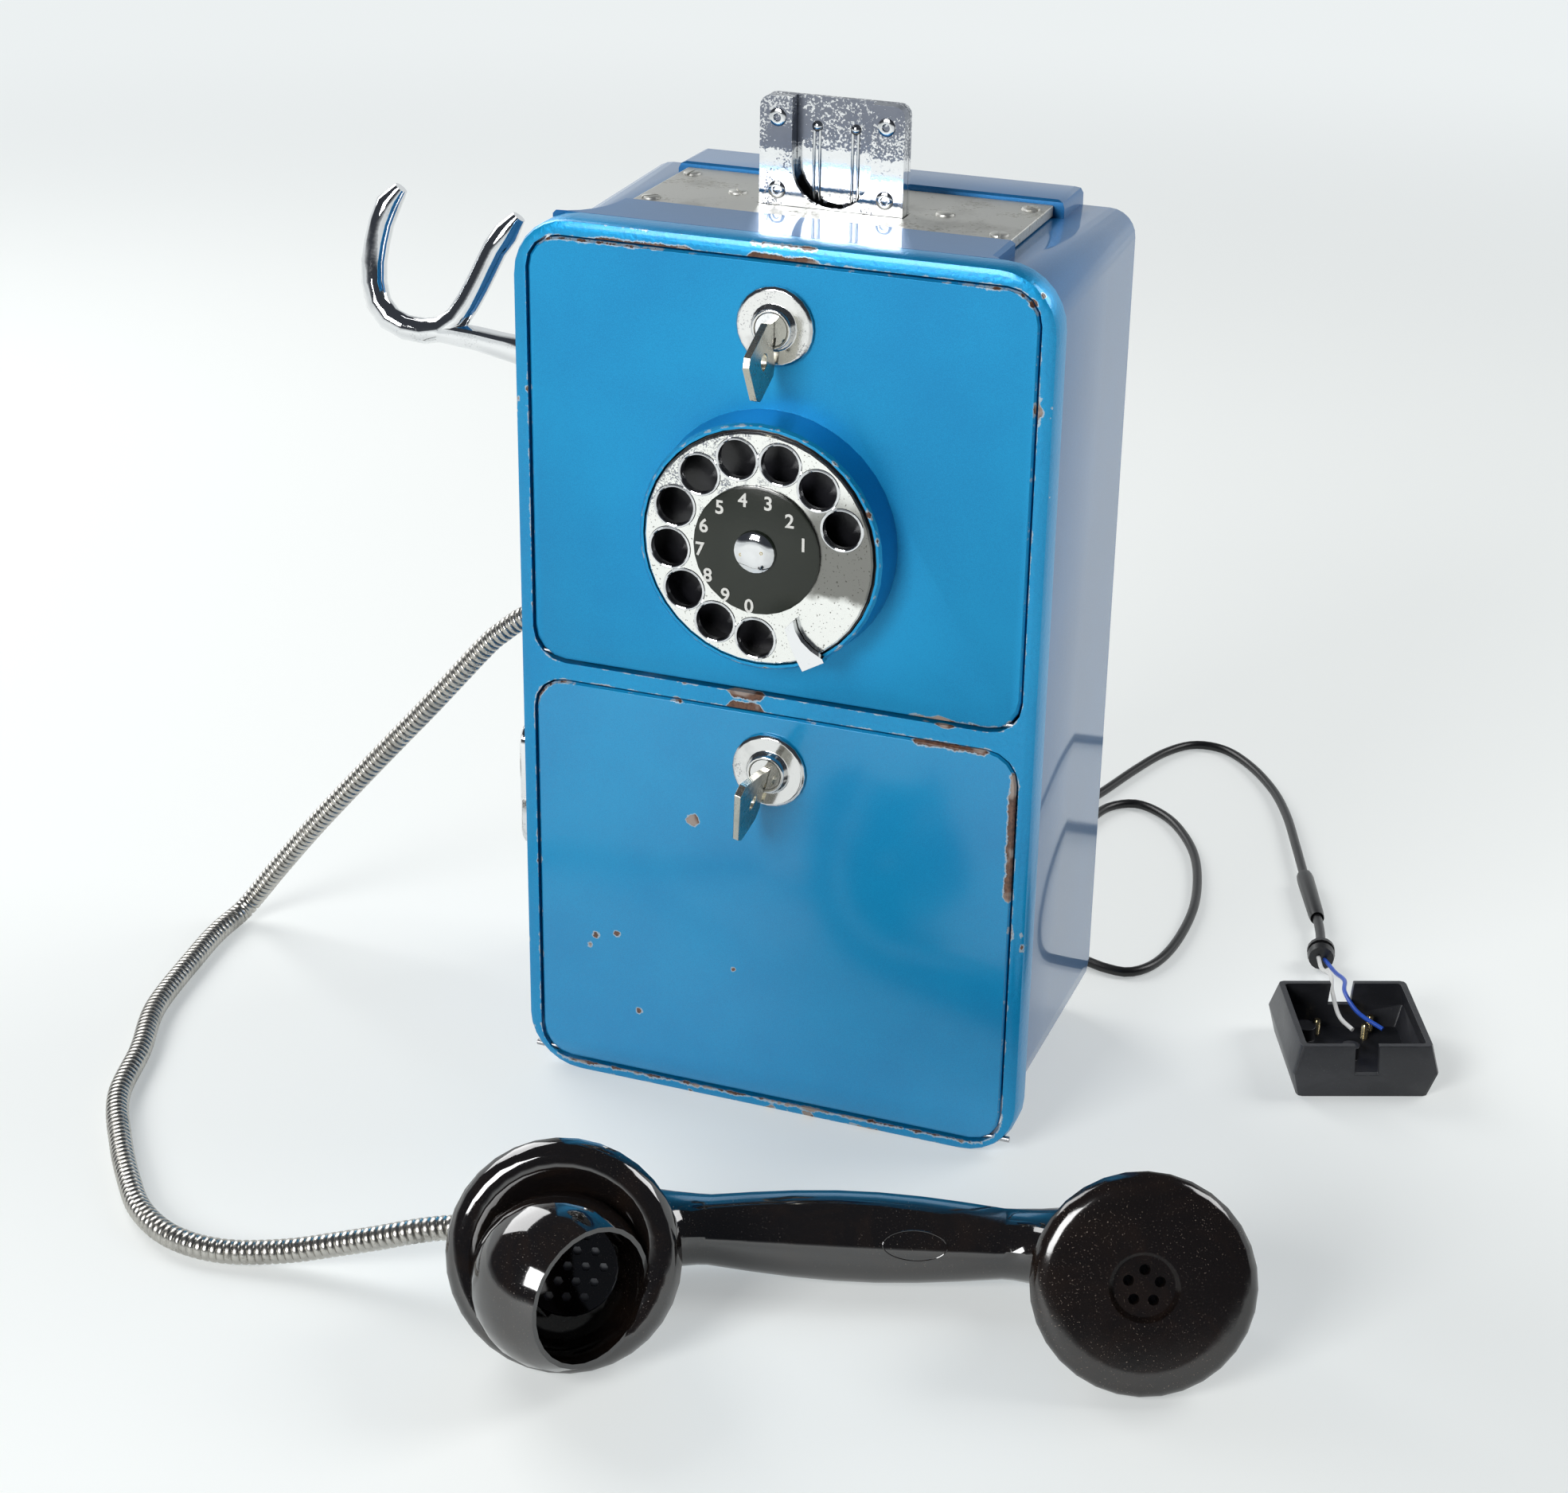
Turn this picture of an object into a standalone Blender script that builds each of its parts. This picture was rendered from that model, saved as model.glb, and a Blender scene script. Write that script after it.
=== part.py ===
"""Wall payphone with a rotary dial, standing on the floor, with its armoured hose, handset and line cord.

X runs to the right of the phone, Y into its depth and Z up. The origin lies under the bottom bar
of the front frame, on the floor. All values are metres.
"""

import math

import bmesh
import bpy
from mathutils import Matrix, Vector

MM = 0.001

# Clearances
SEAT = 0.3 * MM
RUN = 0.12 * MM
OVERRUN = 1.0 * MM

# Front frame
FRAME_W = 178.0 * MM
FRAME_H = 303.8 * MM
FRAME_D = 9.7 * MM
FRAME_CORNER = 19.5 * MM
FRAME_EDGE = 2.2 * MM
SIDE_BAND = 4.95 * MM
TOP_BAND = 5.0 * MM
MIDDLE_BAND = 5.8 * MM
BOTTOM_BAND = 4.1 * MM
LOWER_OPENING_SHARE = 0.50087
BASE_SETBACK = 6.0 * MM

# Doors
DOOR_GAP = 0.8 * MM
DOOR_T = 4.0 * MM
DOOR_CORNER = 10.5 * MM
DOOR_EDGE = 0.7 * MM
HINGE_PIN_R = 1.0 * MM
HINGE_PIN_IN_DOOR = 9.0 * MM
HINGE_PIN_IN_FRAME = 5.0 * MM
HINGE_PIN_PLAY = 0.3 * MM

# Housing
HOUSING_W = 170.8 * MM
HOUSING_BACK = 105.6 * MM
HOUSING_LIFT = 4.0 * MM
SHOULDER_DROP = 4.9 * MM
HOUSING_WALL = 4.0 * MM
BOTTOM_CORNER = 21.0 * MM
TOP_CORNER_FRONT = 15.0 * MM
TOP_CORNER_BACK = 9.0 * MM
REAR_ROUND = 3.0 * MM
CAVITY_TOP_CORNER = 5.0 * MM

# Raised top of the housing
PAD_INSET = 20.4 * MM
PAD_BACK = 33.5 * MM
PAD_SWOOP = 14.0 * MM
LEDGE_INSET = 18.9 * MM
LEDGE_FRONT = 82.8 * MM
LEDGE_RISE = 5.6 * MM
TOP_EDGE = 1.2 * MM
TOP_PLATE_INSET = 22.4 * MM
TOP_PLATE_RISE = 4.0 * MM

# Coin chute on the top plate
CHUTE_W = 48.0 * MM
CHUTE_RISE = 33.7 * MM
CHUTE_FRONT = 47.0 * MM
CHUTE_PLATE_T = 4.5 * MM
CHUTE_BACK_T = 1.9 * MM
CHUTE_CORNER = 3.5 * MM
CHUTE_BELOW = 10.0 * MM
RECESS_W = 26.3 * MM
RECESS_FLOOR = 0.2 * MM
COIN_GROOVE_D = 3.0 * MM

# Dial on the upper door
DIAL_SHARE = 0.4993
RING_R = 41.5 * MM
RING_RIM_R = 40.25 * MM
RING_PROUD = 12.8 * MM
RING_INNER_R = 38.9 * MM
RING_ROUND = 1.0 * MM
WHEEL_R = 38.0 * MM
WHEEL_PROUD = 13.8 * MM
WHEEL_T = 1.5 * MM
FINGER_HOLES = 10
FINGER_HOLE_R = 6.5 * MM
FINGER_CIRCLE_R = 29.64 * MM
FIRST_HOLE_DEG = 20.6
HOLE_STEP_DEG = 27.65
CUP_WALL = 1.4 * MM
CUP_FLOOR_PROUD = 3.6 * MM
CASE_R = 35.0 * MM
CASE_BACK = 34.0 * MM
SHAFT_R = 3.0 * MM
CARD_R = 21.0 * MM
CARD_T = 1.0 * MM
CAP_R = 6.9 * MM
CAP_H = 2.4 * MM
STOP_T = 2.2 * MM
STOP_OVER_WHEEL = 0.5 * MM

# Door locks
LOCK_FROM_TOP_UPPER = 20.0 * MM
LOCK_FROM_TOP_LOWER = 19.3 * MM
ESCUTCHEON_R = 12.75 * MM
ESCUTCHEON_T = 2.0 * MM
GUARD_R = 7.3 * MM
GUARD_TIP_R = 6.3 * MM
GUARD_PROUD = 4.6 * MM
LOCK_BODY_R = 9.0 * MM
LOCK_BODY_BACK = 15.0 * MM
PLUG_R = 5.2 * MM
KEY_T = 2.3 * MM
KEY_SIZE = 20.0 * MM
KEY_BLADE_H = 5.0 * MM
KEY_BLADE_IN = 12.0 * MM
KEY_HOLE_R = 2.6 * MM
CAM_T = 2.0 * MM
CAM_W = 9.0 * MM
CAM_REACH = 21.5 * MM
CAM_POCKET_W = 15.0 * MM
CAM_POCKET_H = 2.6 * MM
CAM_POCKET_D = 12.0 * MM

# Switch hook
HOOK_Y = 46.0 * MM
HOOK_PIVOT_IN = 11.4 * MM
HOOK_DROP = 66.8 * MM
FORK_REACH = 97.7 * MM
FORK_ROD_R = 4.4 * MM
FORK_LEAN_DEG = 12.0
HOOK_ARM_W = 8.0 * MM
HUB_R = 6.0 * MM
HOOK_PIN_R = 2.0 * MM
HOOK_SLOT_H = 17.0 * MM
HOOK_SLOT_W = 11.0 * MM
LEVER_REACH = 26.0 * MM
LEVER_T = 3.0 * MM
BRACKET_T = 1.8 * MM
BRACKET_W = 19.0 * MM
BRACKET_H = 26.0 * MM
HOOK_TRAVEL_DEG = 8.0

# Coin return on the left side
RETURN_SHARE = 0.6653
RETURN_H = 46.0 * MM
RETURN_FRONT = 13.0 * MM
RETURN_DEPTH = 44.0 * MM
RETURN_PROUD = 11.0 * MM
RETURN_WALL = 2.4 * MM
RETURN_CORNER = 7.0 * MM
RETURN_POCKET = 20.0 * MM

# Armoured hose
HOSE_R = 3.9 * MM
HOSE_GROOVE_R = 3.45 * MM
HOSE_BORE_R = 2.3 * MM
HOSE_RIBS = 104
HOSE_EXIT_Z = 151.8 * MM
HOSE_GLAND_R = 8.0 * MM
HOSE_GLAND_NECK_R = 5.4 * MM
HOSE_GLAND_T = 2.0 * MM

# Handset: two cups on a curved handle, lying on its side
MOUTH_CENTRE = Vector((-6.1 * MM, -158.0 * MM, 33.6 * MM))
HANDSET_HEADING_DEG = 17.3
HANDSET_TILT_DEG = 22.0
HANDSET_DIP_DEG = 0.2
CUP_SPACING = 171.5 * MM
MOUTH_CAP_R = 35.4 * MM
EAR_CAP_R = 33.6 * MM
HANDLE_BEHIND = 50.0 * MM
HANDLE_HALF_H = 14.3 * MM
HANDLE_END_SHARE = 0.77
HANDLE_HALF_T = 11.0 * MM
ELBOW_IN = 40.0 * MM
CUP_RIM_BEHIND = 15.0 * MM
CUP_RIM_R = 28.6 * MM
CAP_BACK_SHARE = 0.838
CAPSULE_R = 23.5 * MM
CAPSULE_H = 9.0 * MM
EAR_RECESS_R = 9.75 * MM
EAR_RECESS_D = 2.5 * MM
EAR_HOLE_R = 1.7 * MM
EAR_HOLE_CIRCLE_R = 4.9 * MM
HOOD_R = 26.3 * MM
HOOD_DOWN = 5.6 * MM
HOOD_OUT = 7.0 * MM
HOOD_MOUTH_R = 21.7 * MM
HOOD_LEAN_DEG = 47.0
HOOD_ROLL_DEG = -12.7
HOOD_WALL = 1.2 * MM
GRILLE_R = 15.0 * MM
GRILLE_T = 1.4 * MM
GRILLE_HOLE_R = 1.5 * MM
GRILLE_PITCH = 5.4 * MM
FERRULE_R = 5.8 * MM
FERRULE_OUT = 30.0 * MM
FERRULE_L = 16.0 * MM
FERRULE_BEHIND = 34.0 * MM

# Line cord with its sleeve and notched grommet
CORD_R = 1.85 * MM
SLEEVE_R = 3.4 * MM
GROMMET_R = 5.2 * MM
GROMMET_T = 9.0 * MM
WIRE_R = 0.8 * MM
INLET_X = 30.0 * MM
INLET_Z = 40.0 * MM
INLET_R = 6.0 * MM
INLET_OUT = 6.0 * MM

# Open wall box on the floor behind the phone
BOX_CENTRE_X = 181.0 * MM
BOX_CENTRE_Y = 102.0 * MM
BOX_HEADING_DEG = 22.0
BOX_L = 46.0 * MM
BOX_D = 47.0 * MM
BOX_H = 20.0 * MM
BOX_WALL = 2.2 * MM
BOX_FLOOR = 2.2 * MM
BOX_FLARE = 2.5 * MM
BOX_CORNER = 2.0 * MM
BOX_SLOT_W = 8.3 * MM
BOX_BOSS_R = 4.0 * MM
BOX_POST_R = 3.2 * MM

# Back plate and what the phone holds inside
BACK_PLATE_T = 3.0 * MM
BACK_PLATE_INSET = 5.4 * MM
BACK_PLATE_DROP = 7.8 * MM
KEYHOLE_X = 45.0 * MM
KEYHOLE_DROP = 34.0 * MM
KEYHOLE_R = 5.0 * MM
CHASSIS_T = 2.0 * MM
CHASSIS_INSET = 19.4 * MM
CHASSIS_FLANGE = 24.0 * MM
RUNWAY_WALL = 1.6 * MM
COIN_SLOT_W = 27.0 * MM
COIN_SLOT_T = 3.4 * MM
CASH_BOX_GAP = 3.4 * MM
CASH_BOX_INSET = 19.4 * MM
CASH_BOX_SHARE = 0.7955
CASH_BOX_WALL = 1.4 * MM
CASH_BOX_FRONT = 24.0 * MM
COIL_X = 42.0 * MM
COIL_R = 11.0 * MM
COIL_L = 58.0 * MM
COIL_FLANGE = 2.0 * MM
CAPACITOR_W = 24.0 * MM
CAPACITOR_D = 16.0 * MM
CAPACITOR_H = 52.0 * MM
RELAY_W = 34.0 * MM
RELAY_D = 22.0 * MM
RELAY_H = 40.0 * MM
TERMINAL_W = 46.0 * MM
TERMINAL_D = 12.0 * MM
TERMINAL_H = 16.0 * MM
TERMINAL_SCREW_OUT = 2.0 * MM
SWITCH_D = 14.0 * MM
SWITCH_H = 16.0 * MM

# Places worked out from the sizes
FRONT = -BASE_SETBACK
LOWER_SILL = BOTTOM_BAND
LOWER_HEAD = LOWER_SILL + (FRAME_H - TOP_BAND - MIDDLE_BAND - BOTTOM_BAND) * LOWER_OPENING_SHARE
UPPER_SILL = LOWER_HEAD + MIDDLE_BAND
UPPER_HEAD = FRAME_H - TOP_BAND
OPENING_HALF_W = FRAME_W / 2 - SIDE_BAND
DOOR_HALF_W = OPENING_HALF_W - DOOR_GAP
HINGE_Y = FRONT + DOOR_T / 2
HOUSING_Y0 = FRONT + FRAME_D + SEAT
HOUSING_Y1 = FRONT + HOUSING_BACK
SHOULDER = FRAME_H - SHOULDER_DROP
INNER_HALF_W = HOUSING_W / 2 - HOUSING_WALL
FLOOR_INSIDE = HOUSING_LIFT + HOUSING_WALL
CEILING = SHOULDER - HOUSING_WALL
PAD_HALF_W = HOUSING_W / 2 - PAD_INSET
LEDGE_HALF_W = HOUSING_W / 2 - LEDGE_INSET
TOP_PLATE_HALF_W = HOUSING_W / 2 - TOP_PLATE_INSET
BACK_PLATE_HALF_W = HOUSING_W / 2 - BACK_PLATE_INSET
BACK_PLATE_TOP = FRAME_H - BACK_PLATE_DROP
CHASSIS_HALF_W = INNER_HALF_W - CHASSIS_INSET
CHUTE_Y = FRONT + CHUTE_FRONT
CHUTE_TOP = FRAME_H + CHUTE_RISE
PLATE_TOP = SHOULDER + TOP_PLATE_RISE
UPPER_LOCK_Z = UPPER_HEAD - DOOR_GAP - LOCK_FROM_TOP_UPPER
LOWER_LOCK_Z = LOWER_HEAD - DOOR_GAP - LOCK_FROM_TOP_LOWER
DIAL = Vector((0, FRONT, UPPER_SILL + (UPPER_LOCK_Z - ESCUTCHEON_R - UPPER_SILL) * DIAL_SHARE))
HOOK_PIVOT_X = -INNER_HALF_W + HOOK_PIVOT_IN
HOOK_PIVOT_Z = FRAME_H - HOOK_DROP
RETURN_Z = LOWER_HEAD * RETURN_SHARE
BACK_PLATE_Y = HOUSING_Y1 + SEAT


def material(name, colour, roughness, metallic=0.0):
    made = bpy.data.materials.get(name)
    if made is None:
        made = bpy.data.materials.new(name)
        made.use_nodes = True
        shader = made.node_tree.nodes["Principled BSDF"]
        shader.inputs["Base Color"].default_value = (*colour, 1.0)
        shader.inputs["Roughness"].default_value = roughness
        shader.inputs["Metallic"].default_value = metallic
        made.diffuse_color = (*colour, 1.0)
    return made


BLUE_PAINT = ("blue_paint", (0.014, 0.165, 0.36), 0.32, 0.35)
CHROME = ("chrome", (0.62, 0.62, 0.61), 0.16, 1.0)
ZINC = ("zinc", (0.36, 0.37, 0.37), 0.45, 0.9)
STEEL = ("steel", (0.42, 0.42, 0.43), 0.35, 0.95)
BRASS = ("brass", (0.60, 0.43, 0.18), 0.30, 1.0)
BLACK_PLASTIC = ("black_plastic", (0.012, 0.012, 0.013), 0.45, 0.0)
BAKELITE = ("bakelite", (0.014, 0.010, 0.009), 0.22, 0.0)
RUBBER = ("rubber", (0.015, 0.015, 0.016), 0.6, 0.0)
COPPER_COIL = ("copper_coil", (0.45, 0.16, 0.06), 0.4, 0.6)
WHITE_WIRE = ("white_wire", (0.75, 0.74, 0.70), 0.45, 0.0)
BLUE_WIRE = ("blue_wire", (0.03, 0.09, 0.35), 0.4, 0.0)


def place(name, bm, finish, pivot=None):
    """Make an object of a mesh built in world space, with its origin on its pivot empty if it has one."""
    origin = pivot.location.copy() if pivot else Vector()
    bmesh.ops.remove_doubles(bm, verts=bm.verts, dist=MM / 500)
    bmesh.ops.recalc_face_normals(bm, faces=bm.faces)
    bmesh.ops.translate(bm, verts=bm.verts, vec=-origin)
    mesh = bpy.data.meshes.new(name)
    bm.to_mesh(mesh)
    bm.free()
    mesh.shade_smooth()
    mesh.set_sharp_from_angle(angle=math.radians(32))
    made = bpy.data.objects.new(name, mesh)
    bpy.context.collection.objects.link(made)
    made.data.materials.append(material(*finish))
    if pivot:
        made.parent = pivot
    return made


def pivot_empty(name, location):
    made = bpy.data.objects.new(name, None)
    made.location = location
    bpy.context.collection.objects.link(made)
    bpy.context.view_layer.update()
    return made


def combine(base, tool, operation):
    """Join or cut the mesh of one object with a second solid, given as a bmesh in world space."""
    bmesh.ops.remove_doubles(tool, verts=tool.verts, dist=MM / 500)
    bmesh.ops.recalc_face_normals(tool, faces=tool.faces)
    mesh = bpy.data.meshes.new("tool")
    tool.to_mesh(mesh)
    tool.free()
    cutter = bpy.data.objects.new("tool", mesh)
    bpy.context.collection.objects.link(cutter)
    modifier = base.modifiers.new("cut", "BOOLEAN")
    modifier.operation = operation
    modifier.solver = "EXACT"
    modifier.object = cutter
    bpy.context.view_layer.update()
    shape = bpy.data.meshes.new_from_object(base.evaluated_get(bpy.context.evaluated_depsgraph_get()))
    base.modifiers.clear()
    old = base.data
    base.data = shape
    bpy.data.meshes.remove(old)
    bpy.data.objects.remove(cutter)
    bpy.data.meshes.remove(mesh)
    base.data.shade_smooth()
    base.data.set_sharp_from_angle(angle=math.radians(32))
    return base


def cut(base, tool):
    return combine(base, tool, "DIFFERENCE")


def weld(base, tool):
    return combine(base, tool, "UNION")


def loft(rings, closed=False):
    """Skin a list of point rings of equal count. The ends get faces, or the last ring meets the first."""
    bm = bmesh.new()
    made = [[bm.verts.new(point) for point in ring] for ring in rings]
    pairs = list(zip(made, made[1:]))
    if closed:
        pairs.append((made[-1], made[0]))
    else:
        bm.faces.new(made[0])
        bm.faces.new(reversed(made[-1]))
    for first, second in pairs:
        for index in range(len(first)):
            after = (index + 1) % len(first)
            bm.faces.new((first[index], second[index], second[after], first[after]))
    return bm


def axes_of(direction):
    """Two unit vectors across a direction."""
    along = Vector(direction).normalized()
    side = Vector((0, 0, 1)) if abs(along.z) < math.cos(math.pi / 4) else Vector((1, 0, 0))
    first = side.cross(along).normalized()
    return first, along.cross(first)


def revolve(profile, centre, direction, sides, closed=False):
    """Turn (distance along the axis, radius) pairs round an axis. A closed profile makes a ring."""
    along = Vector(direction).normalized()
    first, second = axes_of(along)
    rings = []
    for height, radius in profile:
        middle = Vector(centre) + along * height
        ring = []
        for step in range(sides):
            angle = math.tau * step / sides
            ring.append(middle + (first * math.cos(angle) + second * math.sin(angle)) * radius)
        rings.append(ring)
    return loft(rings, closed)


def cylinder(start, direction, length, radius, sides):
    return revolve([(0, radius), (length, radius)], start, direction, sides)


def block(low, high):
    corners = [(low[0], low[1]), (high[0], low[1]), (high[0], high[1]), (low[0], high[1])]
    return loft([[Vector((x, y, z)) for x, y in corners] for z in (low[2], high[2])])


def rounded_rectangle(left, right, low, high, radii, steps=4):
    """Outline points of a rectangle with radii given for low right, high right, high left, low left."""
    centres = [
        (right - radii[0], low + radii[0], -90),
        (right - radii[1], high - radii[1], 0),
        (left + radii[2], high - radii[2], 90),
        (left + radii[3], low + radii[3], 180),
    ]
    points = []
    for (x, z, start), radius in zip(centres, radii):
        for step in range(steps + 1):
            angle = math.radians(start + 90 * step / steps)
            points.append((x + radius * math.cos(angle), z + radius * math.sin(angle)))
    return points


def upright(points, y):
    return [Vector((x, y, z)) for x, z in points]


def slab(outline, y0, y1):
    """Extrude an X-Z outline along Y."""
    return loft([upright(outline, y0), upright(outline, y1)])


def smooth_route(points, spacing):
    """Points at an even spacing along a smooth curve through the given points."""
    points = [Vector(p) for p in points]
    ends = [points[0] * 2 - points[1]] + points + [points[-1] * 2 - points[-2]]
    fine = []
    pieces = 24
    for a, b, c, d in zip(ends, ends[1:], ends[2:], ends[3:]):
        for step in range(pieces):
            t = step / pieces
            bend = (a * 2 - b * 5 + c * 4 - d) * t**2 + (b * 3 - a - c * 3 + d) * t**3
            fine.append((b * 2 + (c - a) * t + bend) / 2)
    fine.append(points[-1])
    total = sum((q - p).length for p, q in zip(fine, fine[1:]))
    count = max(2, round(total / spacing))
    route = [fine[0]]
    travelled = 0
    for p, q in zip(fine, fine[1:]):
        length = (q - p).length
        while len(route) < count and travelled + length >= total * len(route) / count:
            share = (total * len(route) / count - travelled) / length
            route.append(p.lerp(q, share))
        travelled += length
    route.append(fine[-1])
    return route, total


def sweep_rings(route, radii, sides):
    """Circles of points along a route, carried along without twist."""
    rings = []
    normal = None
    for index, point in enumerate(route):
        before = route[max(index - 1, 0)]
        after = route[min(index + 1, len(route) - 1)]
        along = (after - before).normalized()
        if normal is None:
            normal = axes_of(along)[0]
        normal = (normal - along * normal.dot(along)).normalized()
        across = along.cross(normal)
        ring = []
        for step in range(sides):
            angle = math.tau * step / sides
            ring.append(point + (normal * math.cos(angle) + across * math.sin(angle)) * radii[index])
        rings.append(ring)
    return rings


# Front frame and housing


def front_frame():
    outline = []
    half = FRAME_W / 2
    for inset, y in ((FRAME_EDGE, 0), (FRAME_EDGE * 0.3, FRAME_EDGE * 0.3), (0, FRAME_EDGE), (0, FRAME_D)):
        corner = [FRAME_CORNER - inset] * 4
        edge = rounded_rectangle(-half + inset, half - inset, inset, FRAME_H - inset, corner, 7)
        outline.append(upright(edge, FRONT + y))
    frame = place("front_frame", loft(outline), BLUE_PAINT)
    corner = [DOOR_CORNER + DOOR_GAP] * 4
    for sill, head in ((LOWER_SILL, LOWER_HEAD), (UPPER_SILL, UPPER_HEAD)):
        opening = rounded_rectangle(-OPENING_HALF_W, OPENING_HALF_W, sill, head, corner)
        cut(frame, slab(opening, FRONT - OVERRUN, FRONT + FRAME_D + OVERRUN))
    for sill in (LOWER_SILL, UPPER_SILL):
        for side in (-1, 1):
            cut(frame, hinge_bore(sill, side))
    return frame


def hinge_axis_z(sill):
    return sill + DOOR_GAP + DOOR_T / 2


def hinge_pin_inner_x():
    corner_x = DOOR_CORNER - math.sqrt(DOOR_CORNER**2 - (DOOR_CORNER - DOOR_T / 2) ** 2)
    return DOOR_HALF_W - corner_x - HINGE_PIN_IN_DOOR


def hinge_pin_outer_x():
    return OPENING_HALF_W + HINGE_PIN_IN_FRAME - SIDE_BAND / 2


def hinge_bore(sill, side):
    inner = hinge_pin_inner_x() - SEAT
    outer = hinge_pin_outer_x() + SEAT
    start = (side * inner, HINGE_Y, hinge_axis_z(sill))
    return cylinder(start, (side, 0, 0), outer - inner, HINGE_PIN_R + HINGE_PIN_PLAY, 12)


def hinge_pins():
    for level, sill in (("lower", LOWER_SILL), ("upper", UPPER_SILL)):
        for word, side in (("left", -1), ("right", 1)):
            inner = hinge_pin_inner_x()
            start = (side * inner, HINGE_Y, hinge_axis_z(sill))
            pin = cylinder(start, (side, 0, 0), hinge_pin_outer_x() - inner, HINGE_PIN_R, 12)
            place(f"{level}_hinge_pin_{word}", pin, STEEL)


def housing_outline(inset, top_corner):
    half = HOUSING_W / 2 - inset
    bottom = BOTTOM_CORNER - inset
    radii = [bottom, top_corner - inset, top_corner - inset, bottom]
    return rounded_rectangle(-half, half, HOUSING_LIFT + inset, SHOULDER - inset, radii, 6)


def housing():
    stations = [
        (HOUSING_Y0, 0, TOP_CORNER_FRONT),
        (HOUSING_Y1 - REAR_ROUND, 0, TOP_CORNER_BACK),
        (HOUSING_Y1 - REAR_ROUND * 0.3, REAR_ROUND * 0.3, TOP_CORNER_BACK),
        (HOUSING_Y1, REAR_ROUND, TOP_CORNER_BACK),
    ]
    rings = [upright(housing_outline(inset, corner), y) for y, inset, corner in stations]
    shell = place("housing", loft(rings), BLUE_PAINT)
    weld(shell, front_pad())
    weld(shell, rear_ledge())
    cavity_corner = [BOTTOM_CORNER - HOUSING_WALL, SEAT, SEAT, BOTTOM_CORNER - HOUSING_WALL]
    lower = rounded_rectangle(-INNER_HALF_W, INNER_HALF_W, FLOOR_INSIDE, LOWER_HEAD, cavity_corner)
    cut(shell, slab(lower, HOUSING_Y0 - OVERRUN, HOUSING_Y1 + OVERRUN))
    upper_corner = [SEAT, CAVITY_TOP_CORNER, CAVITY_TOP_CORNER, SEAT]
    upper = rounded_rectangle(-INNER_HALF_W, INNER_HALF_W, UPPER_SILL, CEILING, upper_corner)
    cut(shell, slab(upper, HOUSING_Y0 - OVERRUN, HOUSING_Y1 + OVERRUN))
    for head in (LOWER_HEAD, CEILING):
        rise = CAM_POCKET_H if head == LOWER_HEAD else UPPER_HEAD - CEILING + CAM_POCKET_H
        low = (-CAM_POCKET_W / 2, HOUSING_Y0 - OVERRUN, head - OVERRUN)
        high = (CAM_POCKET_W, HOUSING_Y0 + CAM_POCKET_D, head + rise)
        cut(shell, block(low, high))
    cut(shell, chute_slot(CEILING - OVERRUN, PLATE_TOP + OVERRUN))
    coin_hole_low = (-COIN_SLOT_W / 2, runway_y() - COIN_SLOT_T / 2, LOWER_HEAD - OVERRUN)
    coin_hole_high = (COIN_SLOT_W / 2, runway_y() + COIN_SLOT_T / 2, UPPER_SILL + OVERRUN)
    cut(shell, block(coin_hole_low, coin_hole_high))
    wall_out = -HOUSING_W / 2 - OVERRUN
    wall_in = -INNER_HALF_W + OVERRUN
    slot_low = (wall_out, HOOK_Y - HOOK_SLOT_W / 2, HOOK_PIVOT_Z - HOOK_SLOT_H / 2)
    slot_high = (wall_in, HOOK_Y + HOOK_SLOT_W / 2, HOOK_PIVOT_Z + HOOK_SLOT_H / 2)
    cut(shell, block(slot_low, slot_high))
    gland = (wall_out, HOOK_Y, HOSE_EXIT_Z)
    cut(shell, cylinder(gland, (1, 0, 0), HOUSING_WALL + OVERRUN, HOSE_GLAND_NECK_R + SEAT, 16))
    pocket = return_outline(RETURN_WALL - SEAT)
    cut(shell, sideways(pocket, wall_out, wall_in))
    return shell


def front_pad():
    y0 = HOUSING_Y0
    y1 = FRONT + PAD_BACK
    outline = [(PAD_HALF_W, y1), (PAD_HALF_W, y0 + PAD_SWOOP / 4), (PAD_HALF_W + PAD_SWOOP / 4, y0)]
    for step in range(7):
        angle = math.radians(90 * step / 6)
        x = -PAD_HALF_W - PAD_SWOOP * (1 - math.sin(angle))
        outline.append((x, y0 + (y1 - y0 - PAD_SWOOP / 4) * (1 - math.cos(angle))))
    outline.append((-PAD_HALF_W, y1))
    rings = []
    for z, inset in ((CEILING, 0), (FRAME_H - TOP_EDGE, 0), (FRAME_H, TOP_EDGE)):
        ring = []
        for x, y in outline:
            ring.append(Vector((x - math.copysign(inset, x), y - (inset if y == y1 else 0), z)))
        rings.append(ring)
    return loft(rings)


def rear_ledge():
    y0 = FRONT + LEDGE_FRONT
    y1 = HOUSING_Y1
    top = SHOULDER + LEDGE_RISE
    rings = []
    edge = TOP_EDGE * 2
    for z, inset in ((CEILING, 0), (top - edge, 0), (top - edge * 0.3, edge * 0.3), (top, edge)):
        low = (-LEDGE_HALF_W + inset, y0 + inset / 2)
        high = (LEDGE_HALF_W - inset, y1 - inset)
        rings.append([Vector((x, y, z)) for x, y in (low, (high[0], low[1]), high, (low[0], high[1]))])
    return loft(rings)


def top_plate():
    low = (-TOP_PLATE_HALF_W, FRONT + PAD_BACK + SEAT, SHOULDER + SEAT)
    high = (TOP_PLATE_HALF_W, FRONT + LEDGE_FRONT - SEAT, PLATE_TOP)
    plate = place("top_plate", block(low, high), ZINC)
    cut(plate, chute_slot(SHOULDER - OVERRUN, PLATE_TOP + OVERRUN))
    return plate


def chute_slot(low, high):
    half = CHUTE_W / 2 + SEAT
    y1 = CHUTE_Y + CHUTE_PLATE_T + CHUTE_BACK_T + SEAT * 2
    return block((-half, CHUTE_Y - SEAT, low), (half, y1, high))


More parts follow.
